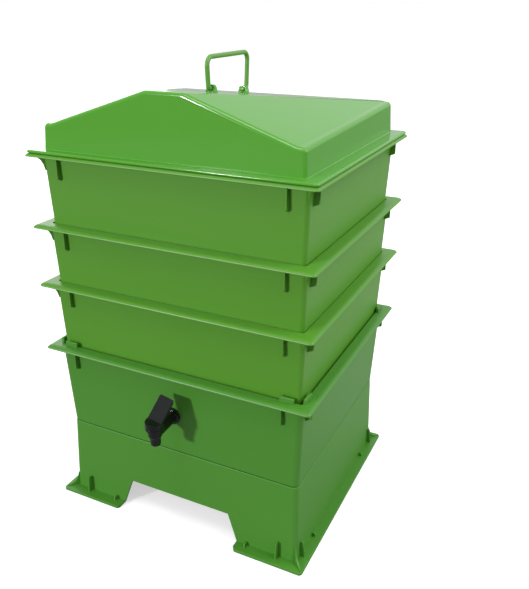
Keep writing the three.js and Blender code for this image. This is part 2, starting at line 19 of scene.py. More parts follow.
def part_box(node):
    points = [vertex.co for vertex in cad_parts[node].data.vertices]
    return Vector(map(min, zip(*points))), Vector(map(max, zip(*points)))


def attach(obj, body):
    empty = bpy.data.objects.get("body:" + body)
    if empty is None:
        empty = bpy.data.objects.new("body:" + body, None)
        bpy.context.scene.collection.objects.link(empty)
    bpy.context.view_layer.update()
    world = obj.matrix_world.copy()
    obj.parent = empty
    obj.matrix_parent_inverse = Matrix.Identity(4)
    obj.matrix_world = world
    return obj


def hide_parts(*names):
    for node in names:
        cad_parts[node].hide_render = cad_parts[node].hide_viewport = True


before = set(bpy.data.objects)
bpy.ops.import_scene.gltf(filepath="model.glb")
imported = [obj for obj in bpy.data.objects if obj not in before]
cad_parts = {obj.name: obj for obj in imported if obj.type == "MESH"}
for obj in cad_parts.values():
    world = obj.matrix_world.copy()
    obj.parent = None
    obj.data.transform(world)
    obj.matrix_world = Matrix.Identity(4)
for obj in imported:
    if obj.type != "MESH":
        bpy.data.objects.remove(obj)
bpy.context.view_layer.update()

LOG = logging.getLogger("wormery")
MM = 0.001
Pair = Tuple[float, float]
Point = Tuple[float, float, float]
Edge = bmesh.types.BMEdge
SIDES = (-1, 1)
CORNERS = ((1, 1), (-1, 1), (-1, -1), (1, -1))

OVERRUN = 5.0  # How far a cutter reaches past what it cuts.
TOUCH = 0.1  # Two places closer than this are the same place.
DOUBLES = 0.002  # Corners closer than this are merged.
CORNER_STEPS = 6
ROLL_STEPS = 6
DRUM_SIDES = 32
SMOOTH_DEGREES = 40.0
FACING = 0.9  # The least share of a normal that counts as facing an axis.
MIDDLE = 0.5  # The value that noise varies about.

# Quarter rounds as shares of their radius: along the wall, then across it.
TWO_STEP_SHARES = ((0.0, 1.0), (0.3, 0.3), (1.0, 0.0))
THREE_STEP_SHARES = ((0.0, 1.0), (0.13, 0.5), (0.5, 0.13), (1.0, 0.0))

plan_low, plan_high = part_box("top_tray")
PLAN_CENTRE = (plan_low + plan_high) / 2


class Kind(Enum):
    """What an edit-mode selection is made of."""

    VERTS = ("verts", "VERT")
    EDGES = ("edges", "EDGE")
    FACES = ("faces", "FACE")


class Merge(Enum):
    """How a second solid acts on the first."""

    UNITE = "UNION"
    CUT = "DIFFERENCE"
    KEEP = "INTERSECT"


class Axis(IntEnum):
    """The axes, as places in a vector."""

    X = 0
    Y = 1
    Z = 2


@dataclass(frozen=True)
class Ring:
    """One level of a loft: a rounded rectangle about the plan's middle."""

    half_width: float
    half_depth: float
    z: float

    def inner(self, inset: float, z: float) -> "Ring":
        """A level further in, at another height."""
        return Ring(self.half_width - inset, self.half_depth - inset, z)


def turn(degrees: float, axis: Axis) -> Matrix:
    """A turn about one of the axes."""
    return Matrix.Rotation(math.radians(degrees), 4, axis.name)


def shift(x: float = 0, y: float = 0, z: float = 0) -> Matrix:
    """A move in millimetres."""
    return Matrix.Translation((x, y, z))


def mirror(side: int, end: int) -> Matrix:
    """Flips X and Y where the sign is negative."""
    return Matrix.Diagonal((side, end, 1, 1))


def near(place: float, size: float) -> bool:
    """True for a place in metres that lies at a size in millimetres."""
    return abs(place - size * MM) < TOUCH * MM


def run(edge: Edge, axis: Axis) -> float:
    """How far an edge runs along an axis, in millimetres."""
    return abs(edge.verts[0].co[axis] - edge.verts[1].co[axis]) / MM


def past(edge: Edge, axis: Axis, size: float) -> bool:
    """True for an edge that lies wholly past a place on an axis."""
    return all(vert.co[axis] > size * MM for vert in edge.verts)


class Workpiece:
    """A closed mesh that is shaped by edit-mode strokes, in millimetres."""

    def __init__(self) -> None:
        """Takes the object that was just added."""
        self.body = bpy.context.object
        bpy.ops.object.transform_apply(location=True, rotation=True, scale=True)

    @classmethod
    def box(cls, low: Point, high: Point) -> "Workpiece":
        """A box between two corners.

        Args:
            low: The lowest corner.
            high: The highest corner.

        Returns:
            The new workpiece.
        """
        middle = [(a + b) / 2 * MM for a, b in zip(low, high)]
        bpy.ops.mesh.primitive_cube_add(size=MM, location=middle)
        bpy.context.object.scale = [b - a for a, b in zip(low, high)]
        return cls()

    @classmethod
    def loft(cls, rings: Sequence[Ring], radius: float) -> "Workpiece":
        """A solid through rounded rectangles, extruded from one to the next.

        Args:
            rings: The levels in order.
            radius: The radius of the corners at the first level.

        Returns:
            The new workpiece.
        """
        bpy.ops.mesh.primitive_plane_add(size=2 * MM, location=(0, 0, rings[0].z * MM))
        bpy.context.object.scale = (rings[0].half_width, rings[0].half_depth, 1)
        piece = cls()
        with piece.editing(Kind.VERTS):
            bpy.ops.mesh.bevel(offset=radius * MM, segments=CORNER_STEPS, affect="VERTICES")
        return piece.extruded([(ring.half_width, ring.half_depth, ring.z) for ring in rings])

    @classmethod
    def turned(cls, profile: Sequence[Pair], sides: int = DRUM_SIDES) -> "Workpiece":
        """A solid of revolution about the upright axis, extruded level by level.

        Args:
            profile: Radius and height of each level.
            sides: The faces round it.

        Returns:
            The new workpiece.
        """
        radius, z = profile[0]
        bpy.ops.mesh.primitive_circle_add(
            vertices=sides, radius=radius * MM, fill_type="NGON", location=(0, 0, z * MM)
        )
        return cls().extruded([(radius, radius, z) for radius, z in profile])

    @classmethod
    def drum(cls, radius: float, low: float, high: float, sides: int = DRUM_SIDES) -> "Workpiece":
        """An upright cylinder between two heights."""
        return cls.turned([(radius, low), (radius, high)], sides)

    def extruded(self, levels: Sequence[Point]) -> "Workpiece":
        """Extrudes a flat face up through levels.

        Args:
            levels: Size along X, size along Y and height of each, the first as it is drawn.

        Returns:
            The same workpiece, closed.
        """
        with self.editing(Kind.FACES):
            for (wide, deep, low), (wide_after, deep_after, high) in zip(levels, levels[1:]):
                rise = {"value": (0, 0, (high - low) * MM)}
                bpy.ops.mesh.extrude_region_move(TRANSFORM_OT_translate=rise)
                shares = (wide_after / wide, deep_after / deep, 1)
                bpy.ops.transform.resize(value=shares, center_override=(0, 0, high * MM))
        return self.turned_outward()

    def chosen(self) -> "Workpiece":
        """Makes this the only selected object and the active one."""
        return gathered([self])

    @contextmanager
    def editing(self, kind: Kind, test: Optional[Callable] = None) -> Iterator[bool]:
        """Edit mode with a selection by place or normal.

        Args:
            kind: What the selection is made of.
            test: True for an element that is wanted, where not all of them are.

        Yields:
            Whether any element passed the test, while edit mode lasts.
        """
        self.chosen()
        bpy.ops.object.mode_set(mode="EDIT")
        bpy.ops.mesh.select_mode(type=kind.value[1])
        bpy.ops.mesh.select_all(action="DESELECT" if test else "SELECT")
        mesh = bmesh.from_edit_mesh(self.body.data)
        mesh.normal_update()
        found = [element for element in getattr(mesh, kind.value[0]) if test and test(element)]
        for element in found:
            element.select_set(True)
        bmesh.update_edit_mesh(self.body.data)
        yield bool(found)
        bpy.ops.object.mode_set(mode="OBJECT")

    def nudge(self, test: Callable, move: Point) -> "Workpiece":
        """Moves some of the corners.

        Args:
            test: True for a corner that is moved.
            move: How far, along each axis.

        Returns:
            The same workpiece.
        """
        with self.editing(Kind.VERTS, test):
            bpy.ops.transform.translate(value=[part * MM for part in move])
        return self

    def widen(self, test: Callable, share: float) -> "Workpiece":
        """Scales some of the corners along X, about the middle.

        Args:
            test: True for a corner that is moved.
            share: The new place as a share of the old one.

        Returns:
            The same workpiece.
        """
        with self.editing(Kind.VERTS, test):
            bpy.ops.transform.resize(value=(share, 1, 1), center_override=(0, 0, 0))
        return self

    def turned_outward(self) -> "Workpiece":
        """Merges doubles and turns every face outward.

        Returns:
            The same workpiece.
        """
        with self.editing(Kind.VERTS):
            bpy.ops.mesh.remove_doubles(threshold=DOUBLES * MM)
            bpy.ops.mesh.normals_make_consistent(inside=False)
        return self

    def round_edges(self, test: Callable, radius: float, steps: int = 3) -> "Workpiece":
        """Rounds the edges that pass a test.

        Args:
            test: True for an edge that is rounded.
            radius: How far the rounding reaches from the edge.
            steps: The faces across it.

        Returns:
            The same workpiece.
        """
        with self.editing(Kind.EDGES, test) as found:
            if found:
                bpy.ops.mesh.bevel(offset=radius * MM, segments=steps, affect="EDGES")
        return self

    def merge(self, how: Merge, *others: "Workpiece") -> "Workpiece":
        """Joins, cuts or trims this solid with others, which are used up.

        Args:
            how: What the others do.
            others: Solids that don't touch each other.

        Returns:
            The same workpiece.
        """
        tool = gathered(others)
        change = self.body.modifiers.new("merge", "BOOLEAN")
        change.operation = how.value
        change.solver = "EXACT"
        change.object = tool.body
        self.chosen()
        bpy.ops.object.modifier_apply(modifier=change.name)
        bpy.data.objects.remove(tool.body)
        return self

    def copied(self) -> "Workpiece":
        """A copy with a mesh of its own.

        Returns:
            The new workpiece.
        """
        self.chosen()
        bpy.ops.object.duplicate(linked=False)
        return Workpiece()

    def moved(self, matrix: Matrix) -> "Workpiece":
        """Moves the mesh itself.

        Args:
            matrix: The move, with its lengths in millimetres.

        Returns:
            The same workpiece.
        """
        metric = matrix.copy()
        metric.translation = matrix.translation * MM
        self.body.data.transform(metric)
        return self

    def finished(self, name: str) -> bpy.types.Object:
        """Moves the piece to its place, and smooths it where it is rounded.

        Args:
            name: The name of the piece.

        Returns:
            The finished object.
        """
        self.turned_outward()
        self.body.name = name
        self.body.data.transform(Matrix.Translation((PLAN_CENTRE.x, PLAN_CENTRE.y, 0)))
        self.chosen()
        bpy.ops.object.shade_smooth_by_angle(angle=math.radians(SMOOTH_DEGREES))
        weigh = self.body.modifiers.new("weigh", "WEIGHTED_NORMAL")
        weigh.keep_sharp = True
        bpy.ops.object.modifier_apply(modifier=weigh.name)
        return self.body


def gathered(pieces: Sequence[Workpiece]) -> Workpiece:
    """Several solids as the islands of one mesh, selected and active.

    Args:
        pieces: The solids, of which the first one is kept.

    Returns:
        The first workpiece, with the others in it.
    """
    bpy.ops.object.select_all(action="DESELECT")
    for piece in pieces:
        piece.body.select_set(True)
    bpy.context.view_layer.objects.active = pieces[0].body
    if len(pieces) > 1:
        bpy.ops.object.join()
    return pieces[0]


# Materials


def add_node(tree: bpy.types.NodeTree, kind: str, **values: object) -> bpy.types.Node:
    """Adds a node to a shader tree.

    Args:
        tree: The shader tree.
        kind: The type of the node.
        values: Numbers, colours or links for its sockets, by name.

    Returns:
        The new node.
    """
    node = tree.nodes.new(kind)
    for name, value in values.items():
        plug(node.inputs[name], value)
    return node


def plug(place: bpy.types.NodeSocket, value: object) -> None:
    """Links or sets one socket.

    Args:
        place: The socket.
        value: A link, or the value that it is set to.
    """
    if isinstance(value, Sock):
        value.tree.links.new(value.socket, place)
    else:
        place.default_value = value


class Sock:
    """A value in a shader tree that takes part in Python arithmetic."""

    def __init__(self, socket: bpy.types.NodeSocket) -> None:
        """Wraps a node's output."""
        self.socket = socket
        self.tree = socket.node.id_data

    def _math(self, operation: str, *values: object) -> "Sock":
        """One Math node.

        Args:
            operation: What it does.
            values: Numbers or links, in the order of its sockets.

        Returns:
            Its result.
        """
        node = self.tree.nodes.new("ShaderNodeMath")
        node.operation = operation
        for place, value in zip(node.inputs, values):
            plug(place, value)
        return Sock(node.outputs[0])

    def __add__(self, other: object) -> "Sock":
        """Sum."""
        return self._math("ADD", self, other)

    def __mul__(self, other: object) -> "Sock":
        """Product."""
        return self._math("MULTIPLY", self, other)

    def __sub__(self, other: object) -> "Sock":
        """Difference."""
        return self._math("SUBTRACT", self, other)

    def __rsub__(self, other: object) -> "Sock":
        """Difference from a plain value."""
        return self._math("SUBTRACT", other, self)

    def ramp(self, low: float, high: float) -> "Sock":
        """A straight line from 0 at the low value to 1 at the high one, flat beyond them.

        Args:
            low: Where it starts.
            high: Where it ends.

        Returns:
            The clamped share.
        """
        share = (self - low) * (1 / (high - low))
        share.socket.node.use_clamp = True
        return share

    def part(self, axis: Axis) -> "Sock":
        """One part of a place."""
        node = add_node(self.tree, "ShaderNodeSeparateXYZ", Vector=self)
        return Sock(node.outputs[axis.name])


class Finish:
    """A material whose nodes are made through a few short calls."""

    def __init__(self, name: str) -> None:
        """Makes an empty material with its Principled shader.

        Args:
            name: The name of the material.
        """
        self.material = bpy.data.materials.new(name)
        self.material.use_nodes = True
        self.tree = self.material.node_tree
        self.shader = self.tree.nodes["Principled BSDF"]
        self.place = Sock(add_node(self.tree, "ShaderNodeTexCoord").outputs["Object"])

    def noise(self, scale: float, detail: float = 2.0, stretch: Point = (1, 1, 1)) -> Sock:
        """Noise over the piece.

        Args:
            scale: Waves to the metre.
            detail: How many finer layers there are.
            stretch: How much faster it changes along each axis.

        Returns:
            A value about 0.5.
        """
        mapped = add_node(self.tree, "ShaderNodeMapping", Vector=self.place, Scale=stretch)
        sizes = {"Vector": Sock(mapped.outputs[0]), "Scale": scale, "Detail": detail}
        return Sock(add_node(self.tree, "ShaderNodeTexNoise", **sizes).outputs["Fac"])

    def mix(self, share: object, first: Sequence[float], second: object) -> Sock:
        """One colour over another.

        Args:
            share: How much of the second colour shows.
            first: The colour below, or a link.
            second: The colour above, or a link.

        Returns:
            The mixed colour.
        """
        node = self.tree.nodes.new("ShaderNodeMix")
        node.data_type = "RGBA"
        for place, value in ((0, share), (6, first), (7, second)):
            plug(node.inputs[place], value)
        return Sock(node.outputs[2])

    def bump(self, height: Sock, depth: float) -> None:
        """Fine relief.

        Args:
            height: The pattern, from 0 to 1.
            depth: Its depth in millimetres.
        """
        sizes = {"Height": height, "Distance": depth * MM, "Strength": 1.0}
        node = add_node(self.tree, "ShaderNodeBump", **sizes)
        plug(self.shader.inputs["Normal"], Sock(node.outputs[0]))

    def dress(self, tone: Sock, roughness: object) -> None:
        """Sets the colour and how rough it is."""
        plug(self.shader.inputs["Base Color"], tone)
        plug(self.shader.inputs["Roughness"], roughness)


def linear(colour: Sequence[float]) -> Tuple[float, float, float, float]:
    """A colour as light.

    Args:
        colour: Red, green and blue as on a screen, 0 to 255.

    Returns:
        Red, green and blue as shares of full light, and full cover.
    """
    shares = [value / 255 for value in colour]
    red, green, blue = (
        share / 12.92 if share <= 0.04045 else ((share + 0.055) / 1.055) ** 2.4
        for share in shares
    )
    return red, green, blue, 1.0


@dataclass(frozen=True)
class MouldedPlastic:
    """Glossy injection-moulded plastic with flow marks and a faint orange peel."""

    name: str
    colour: Point
    pale: Point
    roughness: float
    peel: float = 0.05
    peel_scale: float = 160.0
    flow: float = 0.35
    cloud_scale: float = 7.0
    streak_scale: float = 16.0
    streak_stretch: Point = (1, 1, 7)
    cloud_share: float = 0.65
    unevenness: float = 0.12
    refraction: float = 1.49

    def material(self) -> bpy.types.Material:
        """Builds the shader tree.

        Returns:
            The material.
        """
        finish = Finish(self.name)
        clouds = finish.noise(self.cloud_scale, detail=3.0)
        streaks = finish.noise(self.streak_scale, stretch=self.streak_stretch)
        marks = clouds * self.cloud_share + streaks * (1 - self.cloud_share)
        shade = (marks - MIDDLE) * self.flow + MIDDLE
        tone = finish.mix(shade, linear(self.colour), linear(self.pale))
        finish.dress(tone, (clouds - MIDDLE) * self.unevenness + self.roughness)
        finish.bump(finish.noise(self.peel_scale), self.peel)
        finish.shader.inputs["IOR"].default_value = self.refraction
        return finish.material


@dataclass(frozen=True)
class GrainedPlastic:
    """Black moulded plastic or rubber with a fine spark-eroded grain."""

    name: str
    colour: Point
    roughness: float
    grain: float
    grain_scale: float = 2600.0
    cloud_scale: float = 60.0
    paler: float = 8.0
    unevenness: float = 0.2

    def material(self) -> bpy.types.Material:
        """Builds the shader tree.

        Returns:
            The material.
        """
        finish = Finish(self.name)
        clouds = finish.noise(self.cloud_scale, detail=3.0)
        pale = linear([part + self.paler for part in self.colour])
        tone = finish.mix(clouds, linear(self.colour), pale)
        finish.dress(tone, (clouds - MIDDLE) * self.unevenness + self.roughness)
        finish.bump(finish.noise(self.grain_scale, detail=3.0), self.grain)
        return finish.material


class Look(Enum):
    """Every finish, with the record's slot that it belongs to."""

    GREEN = (MouldedPlastic("green_moulded", (79, 143, 33), (87, 150, 41), 0.42), "green_body")
    # A darker copy of the trays' green for the stand and the collector: painted shade for the
    # dimmer light low down near the floor.
    DEEP_GREEN = (
        MouldedPlastic("green_moulded_deep", (68, 135, 37), (77, 142, 45), 0.42),
        "green_body",
    )
    LID = (MouldedPlastic("lid_moulded", (78, 152, 42), (85, 159, 50), 0.12), "green_lid")
    HANDLE = (
        MouldedPlastic("handle_moulded", (92, 148, 58), (98, 154, 64), 0.36),
        "green_lid",
    )
    BLACK = (GrainedPlastic("black_moulded", (8, 12, 11), 0.24, 0.012), "black_plastic")
    RUBBER = (GrainedPlastic("black_rubber", (24, 24, 26), 0.75, 0.06), "black_rubber")


# Forms that several pieces share


@dataclass(frozen=True)
class Plan:
    """The outline that every tray flange has."""

    half_width: float = 212.5
    half_depth: float = 190.0
    corner: float = 5.0
    wall_corner: float = 6.0

    def ring(self, inset: float, z: float) -> Ring:
        """The outline at a height, inset from the flange's edge."""
        return Ring(self.half_width - inset, self.half_depth - inset, z)


PLAN = Plan()


@dataclass(frozen=True)
class Levels:
    """Height of each flange's top over the floor."""

    sump: float = 264.0
    lower: float = 365.0
    middle: float = 453.0
    top: float = 554.0
    seat_gap: float = 0.3


LEVELS = Levels()


def rolled(edge: Ring, across: float, down: float) -> List[Ring]:
    """The levels of an edge that rolls over from upright to flat.

    Args:
        edge: The outline, at the level of the flat top.
        across: How far in the roll reaches.
        down: How far down it starts.

    Returns:
        The levels from the lowest up.
    """
    angles = [math.radians(90 * step / ROLL_STEPS) for step in range(ROLL_STEPS + 1)]
    return [
        edge.inner(across * (1 - math.cos(a)), edge.z - down * (1 - math.sin(a)))
        for a in angles
    ]


@dataclass(frozen=True)
class WallForm:
    """How a wall hangs under its flange."""

    overhang: float
    lean_share: float
    head: float = 1.0

    def ring(self, depth: float, inset: float = 0.0) -> Ring:
        """The wall's outline.

        Args:
            depth: The depth under the flange's top.
            inset: How far inside the outer face.

        Returns:
            The outline at that depth.
        """
        return PLAN.ring(self.overhang + self.lean_share * depth + inset, -depth)


def round_walls(
    front: Callable[[], Workpiece], flank: Callable[[], Workpiece], along: Pair, wall: Ring
) -> List[Workpiece]:
    """Ribs on all four walls, two on each.

    Args:
        front: Makes a rib for the front or the back, which stands out along +X.
        flank: Makes a rib for a flank in the same way.
        along: How far from the middle they stand, on the front and on a flank.
        wall: The outline of the walls.

    Returns:
        The eight ribs in their places.
    """
    made = []
    for side in SIDES:
        for end in SIDES:
            rib = front().moved(turn(90 * end, Axis.Z))
            made.append(rib.moved(shift(side * along[0], end * wall.half_depth)))
            rib = flank().moved(turn(0 if end > 0 else 180, Axis.Z))
            made.append(rib.moved(shift(end * wall.half_width, side * along[1])))
    return made


@dataclass(frozen=True)
class Gusset:
    """An upright rib under a flange."""

    reach: float
    drop: float
    inset: float
    thickness: float = 2.5
    buried: float = 2.0
    head: float = 1.0
    lower_share: float = 0.88
    rounding: float = 0.5

    def made(self) -> Workpiece:
        """One rib that stands out along +X, with its inner edge in the wall at x = 0.

        Returns:
            The new workpiece.
        """
        half = self.thickness / 2
        rib = Workpiece.box((-self.buried, -half, -self.drop), (self.reach, half, -self.head))
        middle, lift = self.reach / 2 * MM, self.drop * (1 - self.lower_share)
        rib.nudge(lambda v: v.co.x > middle and v.co.z < -self.drop / 2 * MM, (0, 0, lift))
        return rib.round_edges(lambda e: past(e, Axis.X, self.reach / 2), self.rounding, steps=2)


FRONT_GUSSET = Gusset(reach=5.5, drop=38.0, inset=44.5)
SIDE_GUSSET = Gusset(reach=7.5, drop=31.0, inset=32.0)


@dataclass(frozen=True)
class CornerWeb:
    """A web across a wall's corner, with a hollow curved edge."""

    drop: float = 24.0
    edge: float = 3.0
    thickness: float = 2.5
    steps: int = 5
    buried: float = 2.0

    def made(self, reach: float, upward: bool) -> Workpiece:
        """One web that stands out along +X.

        Args:
            reach: How far it goes out.
            upward: True for a web that stands on a foot flange.

        Returns:
            The new workpiece.
        """
        half = self.thickness / 2
        web = Workpiece.box((-self.buried, -half, -self.drop), (0, half, 0))
        with web.editing(Kind.FACES, lambda f: f.normal.x > FACING):
            x, fall = 0.0, self.drop
            for step in range(1, self.steps + 1):
                t = step / self.steps
                x_after = 2 * (1 - t) * t * self.edge + t * t * reach
                fall_after = (1 - t) ** 2 * self.drop + (1 - (1 - t) ** 2) * self.edge
                move = {"value": ((x_after - x) * MM, 0, 0)}
                bpy.ops.mesh.extrude_region_move(TRANSFORM_OT_translate=move)
                bpy.ops.transform.resize(
                    value=(1, 1, fall_after / fall), center_override=(x_after * MM, 0, 0)
                )
                x, fall = x_after, fall_after
        web.turned_outward()
        return web.moved(turn(180, Axis.X)) if upward else web

    def round_wall(
        self, reach: float, wall: Ring, corner: float, upward: bool = False
    ) -> List[Workpiece]:
        """Webs across all four corners of a wall.

        Args:
            reach: How far they go out.
            wall: The outline that they stand on, and their height.
            corner: The radius of its corners.
            upward: True for webs that stand on a foot flange.

        Returns:
            The webs in their places.
        """
        sunk = corner * (1 - math.sqrt(0.5))
        x, y = wall.half_width - sunk, wall.half_depth - sunk
        made = []
        for side, end in CORNERS:
            web = self.made(reach, upward)
            web.moved(turn(math.degrees(math.atan2(end, side)), Axis.Z))
            made.append(web.moved(shift(side * x, end * y, wall.z)))
        return made


@dataclass(frozen=True)
class Flange:
    """A tray's flat flange with its rolled lip turned down, and the ribs under it."""

    thickness: float = 3.0
    lip_height: float = 5.0
    lip_thickness: float = 2.5
    lip_chamfer: float = 0.4
    roll_across: float = 8.0
    roll_down: float = 4.4
    web_sink: float = 1.5

    def made(self) -> Workpiece:
        """The flange, with its top face at z = 0.

        Returns:
            The new workpiece.
        """
        edge = PLAN.ring(0, 0)
        rings = [edge.inner(self.lip_chamfer, -self.lip_height)]
        rings += rolled(edge, self.roll_across, self.roll_down)
        rim, wall = Workpiece.loft(rings, PLAN.corner), self.lip_thickness
        rings = [edge.inner(wall, z) for z in (-self.lip_height - OVERRUN, -self.thickness)]
        return rim.merge(Merge.CUT, Workpiece.loft(rings, PLAN.corner - wall))

    def ribs(self, form: WallForm, web_drop: float) -> List[Workpiece]:
        """All the ribs and corner webs under the flange.

        Args:
            form: How the wall hangs.
            web_drop: The height of the corner webs.

        Returns:
            The ribs in their places.
        """
        head = form.ring(0)
        along = (PLAN.half_width - FRONT_GUSSET.inset, PLAN.half_depth - SIDE_GUSSET.inset)
        made = round_walls(FRONT_GUSSET.made, SIDE_GUSSET.made, along, head)
        reach = (form.overhang - self.lip_thickness) * math.sqrt(2)
        corner = head.inner(0, -self.web_sink)
        return made + CornerWeb(web_drop).round_wall(reach, corner, PLAN.wall_corner)


@dataclass(frozen=True)
class Hollow:
    """The room inside a container: a rounded mouth, leaning faces and a filleted floor."""

    wall: float = 2.6
    mouth: float = 0.8
    fillet: float = 3.0

    def made(self, floor_depth: float, form: WallForm) -> Workpiece:
        """The hollow as a solid to cut with.

        Args:
            floor_depth: The depth of the floor's top.
            form: How the wall hangs.

        Returns:
            The new workpiece.
        """
        rings = [
            form.ring(floor_depth - up * self.fillet, self.wall + inward * self.fillet)
            for up, inward in TWO_STEP_SHARES
        ]
        rings += [
            form.ring(down * self.mouth, self.wall - outward * self.mouth)
            for outward, down in TWO_STEP_SHARES
        ]
        rings.append(rings[-1].inner(0, OVERRUN))
        return Workpiece.loft(rings, PLAN.wall_corner - self.wall)


@dataclass(frozen=True)
class StackRibs:
    """Ribs inside a container that carry the one above."""

    width: float = 8.0
    reach: float = 6.0
    offset: float = 100.0
    nest: float = 26.3
    wall: float = 2.6
    skin: float = 0.8
    sunk: float = 1.3
    rounding: float = 1.4
    inner_band: float = 0.5

    def made(self, floor_depth: float, form: WallForm) -> List[Workpiece]:
        """All eight ribs, with rounded inner edges.

        Args:
            floor_depth: The depth of the floor's top.
            form: How the wall hangs.

        Returns:
            The ribs in their places.
        """
        foot = form.ring(floor_depth, self.wall + self.reach)
        back = form.ring(floor_depth, self.skin)
        bottom, top = -floor_depth - self.sunk, -self.nest
        half = self.width / 2
        spans = ((0, foot.half_width, back.half_width), (90, foot.half_depth, back.half_depth))
        made = []
        for turned, face, far in spans:
            inner = (face + self.inner_band) * MM
            for end in SIDES:
                for side in SIDES:
                    rib = Workpiece.box((face, -half, bottom), (far, half, top))
                    rib.round_edges(
                        lambda e: all(vert.co.x < inner for vert in e.verts), self.rounding
                    )
                    rib.moved(shift(0, side * self.offset))
                    around = turned + (0 if end > 0 else 180)
                    made.append(rib.moved(turn(around, Axis.Z)))
        return made


# Containers


@dataclass
class Tray:
    """A nesting tray with a perforated floor."""

    rise: float
    nest: float = 26.0
    floor: float = 3.0
    hem: float = 1.6
    form: WallForm = WallForm(17.0, 0.037)
    web_drop: float = 24.0
    drain_radius: float = 4.5
    drain_sides: int = 16
    drain_counts: Tuple[int, int] = (6, 6)
    drain_pitch: Pair = (54.0, 48.0)

    @property
    def height(self) -> float:
        """The whole tray's height."""
        return self.rise + self.nest

    def drains(self) -> List[Workpiece]:
        """The drain holes as cylinders to cut with.

        Returns:
            The cylinders in their places.
        """
        low, high = -self.height - OVERRUN, -self.height + self.floor + OVERRUN
        columns, rows = (
            [(place - (count - 1) / 2) * pitch for place in range(count)]
            for count, pitch in zip(self.drain_counts, self.drain_pitch)
        )
        return [
            Workpiece.drum(self.drain_radius, low, high, self.drain_sides).moved(shift(x, y))
            for x in columns
            for y in rows
        ]

    def made(self) -> Workpiece:
        """The whole tray, with its flange's top at z = 0.

        Returns:
            The new workpiece.
        """
        rings = [
            self.form.ring(self.height - up * self.hem, inward * self.hem)
            for up, inward in TWO_STEP_SHARES
        ]
        wall = Workpiece.loft([*rings, self.form.ring(self.form.head)], PLAN.wall_corner)
        flange = Flange()
        wall.merge(Merge.UNITE, flange.made())
        wall.merge(Merge.UNITE, *flange.ribs(self.form, self.web_drop))
        depth = self.height - self.floor
        wall.merge(Merge.CUT, Hollow().made(depth, self.form))
        wall.merge(Merge.UNITE, *StackRibs().made(depth, self.form))
        return wall.merge(Merge.CUT, *self.drains())


@dataclass
class Sump:
    """The liquid collector: a raised floor over an open skirt that steps in to a plug."""

    rise: float = 137.0
    seat_gap: float = 0.3
    plug_depth: float = 12.0
    plug_inset: float = 36.0
    plug_corner: float = 8.0
    plug_chamfer: float = 1.0
    floor_depth: float = 96.0
    floor: float = 3.0
    wall: float = 2.6
    hem: float = 2.5
    shoulder: float = 3.0
    form: WallForm = WallForm(15.5, 0.045)
    tap_x: float = -3.4
    tap_drop: float = 72.2
    tap_hole: float = 8.4
    tap_hole_reach: float = 12.0
    locator_height: float = 7.0
    locator_wall: float = 4.0
    locator_sunk: float = 1.5
    locator_arm: float = 20.0
    locator_slots: Pair = (10.5, 4.0)
    locator_inset: float = 17.2
    locator_rounding: float = 0.9
    web_drop: float = 12.0

    def plug_ring(self, depth: float, inset: float = 0.0) -> Ring:
        """The plug's outline at a depth."""
        return PLAN.ring(self.plug_inset + inset, -depth)

    def locators(self) -> List[Workpiece]:
        """The raised angles on the flange that centre the tray above.

        Returns:
            Two bars for each corner, with a slot between them.
        """
        inner = PLAN.ring(self.locator_inset, 0)
        swap = Matrix(((0, 1, 0, 0), (1, 0, 0, 0), (0, 0, 1, 0), (0, 0, 0, 1)))
        bars = (
            (inner.half_width, inner.half_depth, self.locator_slots[0], Matrix.Identity(4)),
            (inner.half_depth, inner.half_width, self.locator_slots[1], swap),
        )
        made = []
        for side, end in CORNERS:
            for corner, face, slot, lay in bars:
                bar = Workpiece.box(
                    (corner - slot - self.locator_arm, face, -self.locator_sunk),
                    (corner - slot, face + self.locator_wall, self.locator_height),
                )
                bar.round_edges(lambda e: past(e, Axis.Z, 0), self.locator_rounding)
                made.append(bar.moved(lay).moved(mirror(side, end)).turned_outward())
        return made

    def under(self, seat: float, foot: float) -> Workpiece:
        """The open space under the floor as a solid to cut with.

        Args:
            seat: The depth at which the collector sits on the stand.
            foot: The depth of the plug's lower edge.

        Returns:
            The new workpiece.
        """
        rings = [
            self.plug_ring(foot + OVERRUN, self.wall),
            self.plug_ring(seat - self.shoulder, self.wall),
            self.form.ring(seat - self.shoulder, self.hem + self.wall / 2),
            self.form.ring(seat - self.hem - self.shoulder, self.wall),
            self.form.ring(self.floor_depth + self.floor, self.wall),
        ]
        return Workpiece.loft(rings, self.plug_corner - self.wall)

    def made(self) -> Workpiece:
        """The whole collector, with its flange's top at z = 0.

        Returns:
            The new workpiece.
        """
        seat = self.rise - self.seat_gap
        foot = seat + self.plug_depth
        rings = [
            self.plug_ring(foot, self.plug_chamfer),
            self.plug_ring(foot - self.plug_chamfer),
            self.plug_ring(seat),
        ]
        rings += [
            self.form.ring(seat - up * self.hem, inward * self.hem)
            for up, inward in THREE_STEP_SHARES
        ]
        rings.append(self.form.ring(self.form.head))
        body = Workpiece.loft(rings, self.plug_corner)
        flange = Flange()
        body.merge(Merge.UNITE, flange.made())
        body.merge(Merge.UNITE, *flange.ribs(self.form, self.web_drop))
        body.merge(Merge.UNITE, *self.locators())
        body.merge(Merge.CUT, Hollow().made(self.floor_depth, self.form))
        body.merge(Merge.CUT, self.under(seat, foot))
        hole = Workpiece.drum(self.tap_hole, -self.tap_hole_reach, self.tap_hole_reach)
        wall_y = -self.form.ring(self.tap_drop).half_depth
        hole.moved(turn(90, Axis.X)).moved(shift(self.tap_x, wall_y, -self.tap_drop))
        body.merge(Merge.CUT, hole)
        return body.merge(Merge.UNITE, *StackRibs().made(self.floor_depth, self.form))


